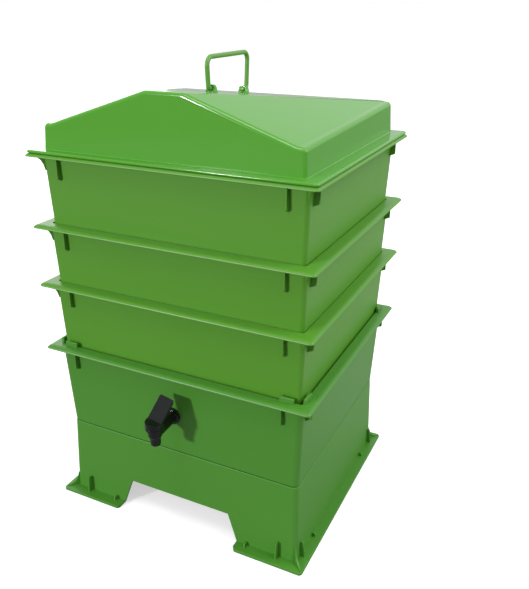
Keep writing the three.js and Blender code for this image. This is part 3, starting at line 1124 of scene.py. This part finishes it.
@dataclass
class Stand:
    """The stand: a flared skirt with a foot flange, foot ribs and two cut-outs."""

    height: float = 127.0
    wall: float = 3.0
    top_inset: float = 21.5
    flare_share: float = 0.032
    corner: float = 8.0
    rim: float = 0.9
    lip: float = 3.0
    lip_reach: float = 10.0
    lip_cut_from: float = 60.0
    foot_inset: float = 3.0
    foot: float = 4.0
    foot_chamfer: float = 1.2
    foot_ease: float = 0.35
    foot_end: float = 5.0
    foot_end_spare: float = 3.0
    arch_top: float = 47.0
    arch_top_half: float = 84.5
    arch_foot_half: float = 101.0
    rib_heights: Pair = (30.0, 10.0)
    rib_insets: Tuple[Pair, Pair] = ((47.0, 33.0), (97.0, 79.0))
    rib_reach: Pair = (9.0, 6.5)
    rib_neck: Pair = (6.5, 4.0)
    rib_thickness: float = 2.5
    rib_rounding: float = 0.5

    def ring(self, height: float, inset: float = 0.0) -> Ring:
        """The skirt's outline at a height, inset from its outer face."""
        flare = self.flare_share * (self.height - height)
        return PLAN.ring(self.top_inset - flare + inset, height)

    def rib(self, height: float, flank: bool) -> Workpiece:
        """One foot rib along +X, wider on the flange than at its head.

        Args:
            height: The height of its head.
            flank: True for a rib on a flank.

        Returns:
            The new workpiece.
        """
        low, half = self.foot / 2, self.rib_thickness / 2
        reach, neck = self.rib_reach[flank], self.rib_neck[flank]
        rib = Workpiece.box((-self.wall / 2, -half, low), (reach, half, height))
        middle = (low + height) / 2 * MM
        rib.nudge(lambda v: v.co.x > neck * MM and v.co.z > middle, (neck - reach, 0, 0))
        return rib.round_edges(lambda e: past(e, Axis.X, neck / 2), self.rib_rounding, steps=2)

    def ribs(self) -> List[Workpiece]:
        """All the ribs and corner webs on the foot flange.

        Returns:
            The ribs in their places.
        """
        base = self.ring(0)
        made = []
        for height, (across, along) in zip(self.rib_heights, self.rib_insets):
            made += round_walls(
                lambda: self.rib(height, False),
                lambda: self.rib(height, True),
                (PLAN.half_width - across, PLAN.half_depth - along),
                base,
            )
        reach = (PLAN.half_width - self.foot_inset - base.half_width) * math.sqrt(2)
        corner = base.inner(0, self.foot / 2)
        return made + CornerWeb().round_wall(reach, corner, self.corner, upward=True)

    def arch(self) -> Workpiece:
        """The cut-out through front and back as a solid to cut with.

        Returns:
            The new workpiece.
        """
        half_depth = PLAN.half_depth + OVERRUN
        tool = Workpiece.box(
            (-self.arch_top_half, -half_depth, -OVERRUN),
            (self.arch_top_half, half_depth, self.arch_top),
        )
        slope = (self.arch_foot_half - self.arch_top_half) / self.arch_top
        foot_half = self.arch_foot_half + OVERRUN * slope
        return tool.widen(lambda v: v.co.z < 0, foot_half / self.arch_top_half)

    def foot_ends(self) -> List[Workpiece]:
        """What rounds the foot flange's ends off beside the cut-outs.

        Returns:
            The solids to cut with.
        """
        edge = PLAN.half_depth
        outer = self.arch_foot_half + self.foot_end
        low, high, spare = -OVERRUN, self.foot + OVERRUN, self.foot_end_spare
        made = []
        for side, end in CORNERS:
            inner = (self.arch_top_half, edge - self.foot_end, low)
            block = Workpiece.box(inner, (outer, edge + OVERRUN, high))
            drum = Workpiece.drum(self.foot_end, low - spare, high + spare)
            block.merge(Merge.CUT, drum.moved(shift(outer, edge - self.foot_end)))
            made.append(block.moved(mirror(side, end)).turned_outward())
        return made

    def made(self) -> Workpiece:
        """The whole stand.

        Returns:
            The new workpiece.
        """
        top, rim = self.height, self.rim
        rings = [self.ring(0), self.ring(top - rim)]
        rings += [
            self.ring(top).inner(inward * rim, top - down * rim)
            for inward, down in THREE_STEP_SHARES[1:]
        ]
        skirt = Workpiece.loft(rings, self.corner)
        edge = Ring(PLAN.half_width - self.foot_inset, PLAN.half_depth, 0)
        rings = [
            edge,
            edge.inner(0, self.foot - self.foot_chamfer),
            edge.inner(self.foot_ease, self.foot - self.foot_ease),
            edge.inner(self.foot_chamfer, self.foot),
        ]
        skirt.merge(Merge.UNITE, Workpiece.loft(rings, PLAN.corner))
        skirt.merge(Merge.UNITE, *self.ribs())
        rings = [self.ring(0, self.wall).inner(0, -OVERRUN), self.ring(top - self.lip, self.wall)]
        skirt.merge(Merge.CUT, Workpiece.loft(rings, self.corner - self.wall))
        opening = self.ring(top, self.wall + self.lip_reach)
        rings = [opening.inner(0, z) for z in (self.lip_cut_from, top + OVERRUN)]
        skirt.merge(Merge.CUT, Workpiece.loft(rings, self.corner))
        skirt.merge(Merge.CUT, self.arch())
        return skirt.merge(Merge.CUT, *self.foot_ends())


@dataclass
class Lid:
    """The lid: a gable front, two side slopes and a rear slope between flat eave bands."""

    inset: float = 22.0
    inset_ends: float = 16.0
    lean_share: float = 0.06
    corner: float = 5.0
    wall: float = 3.0
    rim_inset: float = 2.0
    rim: float = 3.5
    rim_chamfer: float = 0.4
    rim_edge: float = 1.0
    roll_across: float = 2.6
    cove: float = 0.8
    cove_overlap_share: float = 0.1
    cove_sunk: float = 1.5
    plug: float = 10.0
    plug_inset: float = 21.2
    plug_taper: Pair = (0.8, 1.5)
    plug_overlap: float = 2.0
    room_step: float = 0.5
    eave_front: float = 37.2
    eave_back: float = 47.5
    eave_band: float = 14.0
    eave_rise: float = 1.2
    gable_top: float = 89.5
    gable_half: float = 24.0
    roof_depth: float = 25.0
    flat_degrees: float = 0.5
    edge_rounding: float = 5.0
    ridge_rounding: float = 3.0
    upright_share: float = 0.3
    level_share: float = 0.8
    ear_offset: float = 48.0
    ear_thickness: float = 6.0
    ear_foot_half: float = 8.5
    ear_head_half: float = 5.5
    ear_over_pin: float = 5.0
    ear_sunk: float = 2.0
    ear_band: float = 1.0
    ear_head_rounding: float = 3.0
    ear_rounding: float = 0.5
    hinge_middle: float = 74.6
    hinge_share: float = 0.1125
    pin_hole: float = 3.65

    @property
    def half_width(self) -> float:
        """Half the wall's width at the seat."""
        return PLAN.half_width - self.inset

    @property
    def half_depth(self) -> float:
        """Half the wall's depth at the seat."""
        return PLAN.half_depth - self.inset_ends

    @property
    def rear_share(self) -> float:
        """How steeply the rear slope falls."""
        return (self.gable_top - self.eave_back - self.eave_rise) / (2 * self.half_depth)

    def ring(self, height: float, inset: float = 0.0) -> Ring:
        """The wall's outline at a height."""
        base = Ring(self.half_width, self.half_depth, 0)
        return base.inner(self.lean_share * height + inset, height)

    def rear_slope(self, y: float) -> float:
        """The rear slope's height in the middle of the lid."""
        return self.gable_top - self.rear_share * (y + self.half_depth)

    def hinge_line(self, y: float) -> float:
        """The height of the handle's hinge line."""
        return self.hinge_middle - self.hinge_share * y

    def roof(self, lowered: float, rounding: float) -> Workpiece:
        """Everything under the roof as a solid.

        Args:
            lowered: How far it lies under the outer roof.
            rounding: How far the ridges are rounded.

        Returns:
            The new workpiece.
        """
        low, depth = self.eave_front - lowered, self.half_depth
        form = Workpiece.box(
            (-self.half_width, -depth, -self.roof_depth), (self.half_width, depth, low)
        )
        crease = self.half_width - self.eave_band
        with form.editing(Kind.FACES):
            for x in (-crease, -self.gable_half, self.gable_half, crease):
                bpy.ops.mesh.select_all(action="SELECT")
                bpy.ops.mesh.bisect(plane_co=(x * MM, 0, 0), plane_no=(1, 0, 0))
        back_lift = self.eave_back - self.eave_front
        lifts = (
            (self.gable_half, False, self.gable_top - lowered - low),
            (crease, False, self.eave_rise),
            (self.half_width, True, back_lift),
            (crease, True, back_lift + self.eave_rise),
            (self.gable_half, True, back_lift + self.eave_rise),
        )
        for x, back, lift in lifts:
            form.nudge(
                lambda v: near(abs(v.co.x), x) and v.co.z > 0 and (v.co.y > 0) == back,
                (0, 0, lift),
            )
        for side in SIDES:
            ends = ((side * self.gable_half, -depth), (side * crease, depth))
            with form.editing(
                Kind.VERTS,
                lambda v: v.co.z > 0 and any(near(v.co.x, x) and near(v.co.y, y) for x, y in ends),
            ):
                bpy.ops.mesh.vert_connect()
        form.turned_outward()
        with form.editing(Kind.EDGES):
            bpy.ops.mesh.dissolve_limited(angle_limit=math.radians(self.flat_degrees))
        return form.round_edges(self.is_ridge, rounding, steps=4) if rounding else form

    def is_ridge(self, edge: Edge) -> bool:
        """True for the edges where the rear slope meets the two side slopes.

        Args:
            edge: An edge of the roof.

        Returns:
            Whether it runs from the front to the back and across, above the eaves.
        """
        rear = max(edge.verts, key=lambda vert: vert.co.y)
        long = run(edge, Axis.Y) > self.half_depth
        return long and run(edge, Axis.X) > self.gable_half and rear.co.z > 0

    def is_roof_edge(self, edge: Edge) -> bool:
        """True for the edges between the walls and the roof.

        Args:
            edge: An edge of the shell.

        Returns:
            Whether an upright face meets a flat one there.
        """
        rises = sorted(face.normal.z for face in edge.link_faces)
        return len(rises) == 2 and rises[0] < self.upright_share and rises[1] > self.level_share

    def ear(self, y: float) -> Workpiece:
        """One ear that holds a pin of the handle.

        Args:
            y: Where its middle stands.

        Returns:
            The new workpiece, without its hole.
        """
        foot = self.rear_slope(y) - self.ear_sunk
        top = self.hinge_line(y) + self.ear_over_pin
        half = self.ear_thickness / 2
        ear = Workpiece.box(
            (-self.ear_foot_half, y - half, foot), (self.ear_foot_half, y + half, top)
        )
        head = (top - self.ear_band) * MM
        ear.widen(lambda v: v.co.z > head, self.ear_head_half / self.ear_foot_half)
        ear.round_edges(
            lambda e: run(e, Axis.Y) > half and e.verts[0].co.z > head,
            self.ear_head_rounding,
            steps=4,
        )
        return ear.round_edges(
            lambda e: e.calc_length() > self.ear_band * MM
            and past(e, Axis.Z, foot + self.ear_band)
            and run(e, Axis.Y) < TOUCH,
            self.ear_rounding,
            steps=2,
        )

    def pin_bore(self) -> Workpiece:
        """The hinge line through both ears as a solid to cut with.

        Returns:
            The new workpiece.
        """
        reach = self.ear_offset + 2 * self.ear_thickness
        bore = Workpiece.drum(self.pin_hole, -reach, reach)
        bore.moved(turn(-90 - math.degrees(math.atan(self.hinge_share)), Axis.X))
        return bore.moved(shift(z=self.hinge_line(0)))

    def base(self) -> List[Workpiece]:
        """The cove at the walls' foot, the rim below it and the plug in the top tray.

        Returns:
            The three solids in their places.
        """
        cove, overlap = self.cove, self.cove_overlap_share
        foot = [
            self.ring(self.rim - self.cove_sunk, -cove),
            self.ring(self.rim, -cove),
            self.ring(self.rim + (1 + overlap) * cove, overlap * cove),
        ]
        edge = PLAN.ring(self.rim_inset, self.rim)
        rim = [edge.inner(self.rim_chamfer, 0)]
        rim += rolled(edge, self.roll_across, self.rim - self.rim_edge)
        skirt, (inward, up) = PLAN.ring(self.plug_inset, 0), self.plug_taper
        plug = [
            skirt.inner(inward, -self.plug),
            skirt.inner(0, -self.plug + up),
            skirt.inner(0, self.plug_overlap),
        ]
        corners = (self.corner + cove, PLAN.corner, self.corner)
        return [Workpiece.loft(*sizes) for sizes in zip((foot, rim, plug), corners)]

    def room(self, top: float) -> Workpiece:
        """The lid's inside as a solid to cut with.

        Args:
            top: A height over the whole lid.

        Returns:
            The new workpiece.
        """
        skirt = PLAN.ring(self.plug_inset, 0)
        step = self.rim - self.room_step
        rings = [
            skirt.inner(self.wall, -self.plug - OVERRUN),
            skirt.inner(self.wall, step),
            self.ring(step, self.wall),
            self.ring(top, self.wall),
        ]
        room = Workpiece.loft(rings, self.corner - self.wall)
        return room.merge(Merge.KEEP, self.roof(self.wall, 0))

    def made(self) -> Workpiece:
        """The whole lid, with its seat at z = 0.

        Returns:
            The new workpiece.
        """
        top = self.gable_top + 2 * OVERRUN
        shell = Workpiece.loft([self.ring(0), self.ring(top)], self.corner)
        shell.merge(Merge.KEEP, self.roof(0, self.ridge_rounding))
        shell.round_edges(self.is_roof_edge, self.edge_rounding, steps=5)
        for piece in self.base():
            shell.merge(Merge.UNITE, piece)
        shell.merge(Merge.CUT, self.room(top))
        ears = gathered([self.ear(side * self.ear_offset) for side in SIDES])
        return shell.merge(Merge.UNITE, ears.merge(Merge.CUT, self.pin_bore()))


@dataclass
class Handle:
    """The bail handle: one bent rod whose ends are its pins."""

    lid: Lid
    radius: float = 3.3
    span: float = 60.0
    top: float = 120.6
    pin_end: float = 42.0
    foot: float = 56.5
    bend: float = 11.0
    foot_bend: float = 4.5
    sides: int = 20
    bend_steps: int = 8
    end_rounding: float = 2.4

    def route(self) -> List[Vector]:
        """The corners of the rod's middle line.

        Returns:
            The corners from the front pin's end to the rear one's.
        """
        hinge = self.lid.hinge_line
        front = [(y, hinge(y)) for y in (-self.pin_end, -self.foot)] + [(-self.span, self.top)]
        rear = [(self.span, self.top)] + [(y, hinge(y)) for y in (self.foot, self.pin_end)]
        return [Vector((0, y, z)) for y, z in front + rear]

    def made(self) -> Workpiece:
        """The rod, extruded along its straights and spun round its bends.

        Returns:
            The new workpiece.
        """
        route = self.route()
        bends = (self.foot_bend, self.bend, self.bend, self.foot_bend)
        at, heading = route[0], (route[1] - route[0]).normalized()
        bpy.ops.mesh.primitive_circle_add(
            vertices=self.sides, radius=self.radius * MM, fill_type="NGON", location=(0, 0, 0)
        )
        upright = Vector((0, 0, 1)).rotation_difference(heading).to_matrix().to_4x4()
        rod = Workpiece().moved(upright).moved(Matrix.Translation(at))
        with rod.editing(Kind.FACES):
            for corner, after, radius in zip(route[1:], route[2:], bends):
                leaving = (after - corner).normalized()
                angle = heading.angle(leaving)
                tangent = radius * math.tan(angle / 2)
                start = corner - heading * tangent
                straight = {"value": (start - at) * MM}
                bpy.ops.mesh.extrude_region_move(TRANSFORM_OT_translate=straight)
                axis = heading.cross(leaving).normalized()
                bpy.ops.mesh.spin(
                    steps=self.bend_steps,
                    angle=-angle,
                    center=(start + axis.cross(heading) * radius) * MM,
                    axis=axis,
                    use_auto_merge=False,
                )
                at, heading = corner + leaving * tangent, leaving
            last = {"value": (route[-1] - at) * MM}
            bpy.ops.mesh.extrude_region_move(TRANSFORM_OT_translate=last)
        rod.turned_outward()
        return rod.round_edges(self.is_end, self.end_rounding, steps=4)

    def is_end(self, edge: Edge) -> bool:
        """True for the rims of the rod's two ends."""
        return any(len(face.verts) > 4 for face in edge.link_faces)


@dataclass
class Tap:
    """The tap: a flanged body with a spout, and a lever that turns on its rim.

    The profiles give radius and height at each level.
    """

    sump: Sump
    reach: float = 46.6
    barrel: Tuple[Pair, ...] = (
        (12.8, 2.6), (13.2, 3.0), (13.2, 4.8), (12.9, 5.5), (12.2, 5.8), (10.7, 5.8),
        (9.8, 6.3), (9.5, 7.3), (9.5, 40.6),
    )
    housing: Tuple[Pair, ...] = (
        (6.6, -19.5), (7.2, -18.8), (7.35, -17.5), (7.7, -10.0), (8.3, -7.2), (10.0, -3.8),
        (10.2, -2.6), (10.2, 5.0), (10.6, 5.6), (12.6, 6.0), (13.1, 6.4), (13.2, 7.0),
        (13.2, 9.2), (12.9, 9.7),
    )
    grip: Tuple[Pair, ...] = (
        (7.7, -5.2), (7.7, 6.0), (6.2, 6.0), (6.2, 8.6), (7.7, 8.6), (7.7, 10.0), (12.6, 10.0),
        (13.2, 10.6), (13.2, 18.1), (12.85, 18.95), (12.0, 19.3),
    )
    tail_radius: float = 8.0
    tail_length: float = 20.0
    tail_near: float = -3.1
    thread_start: float = 4.5
    thread_end: float = 5.0
    thread_pitch: float = 2.2
    thread_depth: float = 0.9
    thread_shares: Pair = (0.45, 0.6)
    tail_chamfer: float = 0.5
    bore: float = 4.8
    chamber: float = 8.0
    chamber_drop: float = 5.5
    chamber_top: float = 20.0
    outlet_drop: float = 30.0
    port: float = 3.6
    port_top: float = 2.5
    port_drop: float = 20.0
    port_reach: float = 12.0
    cap_top: float = 19.3
    paddle_half: float = 13.2
    paddle_thickness: float = 5.0
    paddle_sunk: float = 0.4
    paddle_reach: float = 27.0
    paddle_rise: float = 25.6
    paddle_turn: float = 14.0
    paddle_corner: float = 2.0
    paddle_rounding: float = 0.8
    paddle_band: float = 1.0
    sharp_radians: float = 0.5

    @property
    def place(self) -> Matrix:
        """Where the tap stands on the leaning wall.

        Returns:
            The move from the tap's own axes to the plan's.
        """
        form, drop = self.sump.form, self.sump.tap_drop
        lean = turn(math.degrees(math.atan(form.lean_share)), Axis.X)
        return shift(self.sump.tap_x, -form.ring(drop).half_depth, LEVELS.sump - drop) @ lean

    def tail(self) -> Workpiece:
        """The threaded tail behind the wall, its thread drawn as rings.

        Returns:
            The new workpiece.
        """
        crest, root = self.tail_radius, self.tail_radius - self.thread_depth
        levels = [(crest, self.tail_near)]
        for number in range(int((self.tail_length - self.thread_end) / self.thread_pitch)):
            start = self.thread_start + number * self.thread_pitch
            levels.append((crest, start))
            levels += [(root, start + self.thread_pitch * share) for share in self.thread_shares]
        levels.append((crest - self.tail_chamfer, self.tail_length))
        return Workpiece.turned(levels).moved(turn(-90, Axis.X))

    def body(self) -> Workpiece:
        """Flange, barrel, housing, spout and threaded tail.

        Returns:
            The new workpiece.
        """
        forward = shift(y=-self.reach)
        spine = Workpiece.turned(self.barrel).moved(turn(90, Axis.X))
        spine.merge(Merge.UNITE, Workpiece.turned(self.housing).moved(forward))
        spine.merge(Merge.UNITE, self.tail())
        cutters = (
            (self.chamber, -self.chamber_drop, self.chamber_top, forward),
            (self.bore, -self.tail_length - OVERRUN, self.reach, turn(90, Axis.X)),
            (self.bore, -self.outlet_drop, 0, forward),
        )
        for radius, low, high, lay in cutters:
            spine.merge(Merge.CUT, Workpiece.drum(radius, low, high).moved(lay))
        return spine.moved(self.place)

    def paddle(self) -> Workpiece:
        """The flat, rising paddle, which grows out of the cap.

        Returns:
            The new workpiece.
        """
        half, reach, top = self.paddle_half, self.paddle_reach, self.cap_top
        paddle = Workpiece.box(
            (-half, 0, top - self.paddle_thickness), (half, reach, top - self.paddle_sunk)
        )
        paddle.nudge(lambda v: v.co.y > reach / 2 * MM, (0, 0, self.paddle_rise))
        paddle.round_edges(
            lambda e: past(e, Axis.Y, reach / 2) and run(e, Axis.X) < self.paddle_band,
            self.paddle_corner,
            steps=4,
        )
        return paddle.round_edges(
            lambda e: e.calc_face_angle(0) > self.sharp_radians
            and any(v.co.y > self.paddle_band * MM for v in e.verts),
            self.paddle_rounding,
        )

    def lever(self) -> Workpiece:
        """The lever: cap, paddle and the plug below them.

        Returns:
            The new workpiece.
        """
        lever = Workpiece.turned(self.grip)
        lever.merge(Merge.CUT, Workpiece.drum(self.port, -self.port_drop, self.port_top))
        side = Workpiece.drum(self.port, 0, self.port_reach).moved(turn(-90, Axis.X))
        lever.merge(Merge.CUT, side)
        lever.merge(Merge.UNITE, self.paddle())
        lever.moved(turn(-self.paddle_turn, Axis.Z)).moved(shift(y=-self.reach))
        return lever.moved(self.place)


# Where everything goes


@dataclass
class Wormery:
    """All the pieces of the wormery on their bodies."""

    finishes: Dict[Look, bpy.types.Material] = field(default_factory=dict)

    def mix_finishes(self) -> None:
        """Makes all the finishes."""
        for look in Look:
            self.finishes[look] = look.value[0].material()

    def place(
        self,
        name: str,
        piece: Workpiece,
        level: float,
        node: str,
        look: Look,
        body: Optional[str] = None,
    ) -> None:
        """Finishes a piece and sets it in its CAD node's place.

        Args:
            name: The name that it gets.
            piece: The workpiece.
            level: The height at which its z = 0 stands.
            node: The CAD node that it stands for.
            look: Its finish.
            body: The body that it rides on, where it isn't named after the node.
        """
        made = piece.moved(shift(z=level)).finished(name)
        made.data.materials.clear()
        made.data.materials.append(self.finishes[look])
        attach(made, body or node + "_body")
        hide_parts(node)
        LOG.info("%s stands for %s with %d faces", made.name, node, len(made.data.polygons))

    def dress_nodes(self) -> None:
        """Gives the CAD nodes that stay in view their finishes."""
        kept = {
            "tap_plug_ring": Look.RUBBER,
            "tap_outer_washer": Look.RUBBER,
            "tap_inner_washer": Look.RUBBER,
            "tap_back_nut": Look.BLACK,
        }
        for node, look in kept.items():
            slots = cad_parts[node].data.materials
            slots.clear()
            slots.append(self.finishes[look])

    def build(self) -> None:
        """Makes every piece."""
        self.mix_finishes()
        sump = Sump()
        # The stand and the collector wear the darker copy of the green, painted shade for the
        # dimmer light low down.
        self.place("stand_shell", Stand().made(), 0, "stand", Look.DEEP_GREEN)
        self.place("sump_shell", sump.made(), LEVELS.sump, "sump", Look.DEEP_GREEN)
        lower = Tray(LEVELS.lower - LEVELS.sump).made()
        top = lower.copied()
        middle = Tray(LEVELS.middle - LEVELS.lower).made()
        self.place("lower_tray_shell", lower, LEVELS.lower, "lower_tray", Look.GREEN)
        self.place("middle_tray_shell", middle, LEVELS.middle, "middle_tray", Look.GREEN)
        self.place("top_tray_shell", top, LEVELS.top, "top_tray", Look.GREEN)
        lid, seat, tap = Lid(), LEVELS.top + LEVELS.seat_gap, Tap(sump)
        self.place("lid_shell", lid.made(), seat, "lid", Look.LID)
        rod = Handle(lid).made()
        self.place("handle_rod", rod, seat, "lid_handle", Look.HANDLE, "handle_body")
        self.place("tap_housing", tap.body(), 0, "tap_body", Look.BLACK, "sump_body")
        self.place("tap_paddle", tap.lever(), 0, "tap_lever", Look.BLACK)
        self.dress_nodes()


@dataclass(frozen=True)
class Lamp:
    """One soft square lamp, with its sizes in metres and its power in watts."""

    name: str
    at: Point
    aim: Point
    size: float
    power: float

    def hang(self) -> None:
        """Adds the lamp to the scene."""
        data = bpy.data.lights.new(self.name, "AREA")
        data.size = self.size
        data.energy = self.power
        lamp = bpy.data.objects.new(self.name, data)
        bpy.context.scene.collection.objects.link(lamp)
        lamp.location = self.at
        lamp.rotation_mode = "QUATERNION"
        lamp.rotation_quaternion = (Vector(self.aim) - Vector(self.at)).to_track_quat("-Z", "Y")


LAMPS = (
    Lamp("key", (-3.4, -6.6, 2.2), (0, 0, 0.35), 0.6, 355.0),
    Lamp("fill", (2.0, 0.4, 1.8), (0, 0, 0.4), 2.4, 42.0),
    Lamp("window", (-2.5, 2.4, 1.2), (0, 0, 0.5), 1.6, 22.0),
    Lamp("ceiling", (-0.09, -0.95, 2.3), (0, 0, 0.5), 0.6, 8.0),
)


@dataclass(frozen=True)
class Studio:
    """Camera, floor and light: a lit background, a dim floor in front, a key from the left."""

    camera_at: Point = (473.25, -892.9, 744.9)
    yaw: float = 26.81
    pitch: float = 22.27
    focal_px: float = 698.0
    centre_px: Pair = (242.3, 285.1)
    frame_px: Tuple[int, int] = (529, 589)
    sensor_width: float = 36.0
    clip_metres: Pair = (0.05, 50.0)
    floor_metres: float = 16.0
    floor_sunk: float = 0.4
    floor_roughness: float = 0.9
    floor_front: float = 0.2
    floor_back: float = 0.42
    floor_seen: float = 0.8
    floor_glow: float = 0.55
    floor_ramp: Pair = (-0.5, 0.3)
    world: float = 0.27
    world_behind: float = 0.5
    world_above: float = 0.35
    behind_ramp: Pair = (-0.4, 0.7)
    above_ramp: Pair = (0.1, 0.9)

    def camera(self) -> None:
        """Sets the camera as the photograph was taken."""
        data = bpy.data.cameras.new("camera")
        long_side = max(self.frame_px)
        data.sensor_width = self.sensor_width
        data.lens = self.focal_px / long_side * data.sensor_width
        data.shift_x = (self.frame_px[0] / 2 - self.centre_px[0]) / long_side
        data.shift_y = (self.centre_px[1] - self.frame_px[1] / 2) / long_side
        data.clip_start, data.clip_end = self.clip_metres
        camera = bpy.data.objects.new("camera", data)
        bpy.context.scene.collection.objects.link(camera)
        place = shift(*self.camera_at) @ turn(self.yaw, Axis.Z) @ turn(90 - self.pitch, Axis.X)
        place.translation = place.translation * MM + Vector((0, PLAN_CENTRE.y, 0))
        camera.matrix_world = place
        bpy.context.scene.camera = camera

    def floor(self) -> None:
        """A white floor that keeps a faint shadow and is dimmer in front."""
        bpy.ops.mesh.primitive_plane_add(
            size=self.floor_metres, location=(0, 0, -self.floor_sunk * MM)
        )
        floor = bpy.context.object
        floor.name = "floor"
        finish = Finish("white_floor")
        seen, back = self.seen(finish.tree), finish.place.part(Axis.Y).ramp(*self.floor_ramp)
        pale = back * (self.floor_back - self.floor_front) + self.floor_front
        finish.dress(pale + seen * (self.floor_seen - pale), self.floor_roughness)
        inputs = finish.shader.inputs
        plug(inputs["Specular IOR Level"], 0.0)
        plug(inputs["Emission Color"], (1, 1, 1, 1))
        plug(inputs["Emission Strength"], seen * self.floor_glow)
        floor.data.materials.append(finish.material)

    def world_light(self) -> None:
        """A surround that is white to the camera, bright above and behind, and dim in front."""
        world = bpy.data.worlds.new("surround")
        world.use_nodes = True
        tree = world.node_tree
        inputs = tree.nodes["Background"].inputs
        place = Sock(add_node(tree, "ShaderNodeTexCoord").outputs["Generated"])
        behind = place.part(Axis.Y).ramp(*self.behind_ramp)
        above = place.part(Axis.Z).ramp(*self.above_ramp)
        light = behind * self.world_behind + above * self.world_above + self.world
        plug(inputs["Color"], (1, 1, 1, 1))
        plug(inputs["Strength"], light + self.seen(tree) * (1 - light))
        bpy.context.scene.world = world

    def seen(self, tree: bpy.types.NodeTree) -> Sock:
        """1 for what the camera sees by itself, 0 for light that it casts."""
        return Sock(add_node(tree, "ShaderNodeLightPath").outputs["Is Camera Ray"])

    def set_up(self) -> None:
        """Makes the whole studio."""
        self.camera()
        self.floor()
        self.world_light()
        for lamp in LAMPS:
            lamp.hang()
        bpy.context.scene.view_settings.view_transform = "Standard"


def main() -> None:
    """Builds the studio and the wormery."""
    logging.basicConfig(level=logging.INFO, format="%(name)s: %(message)s")
    Studio().set_up()
    Wormery().build()


if __name__ == "__main__":
    main()
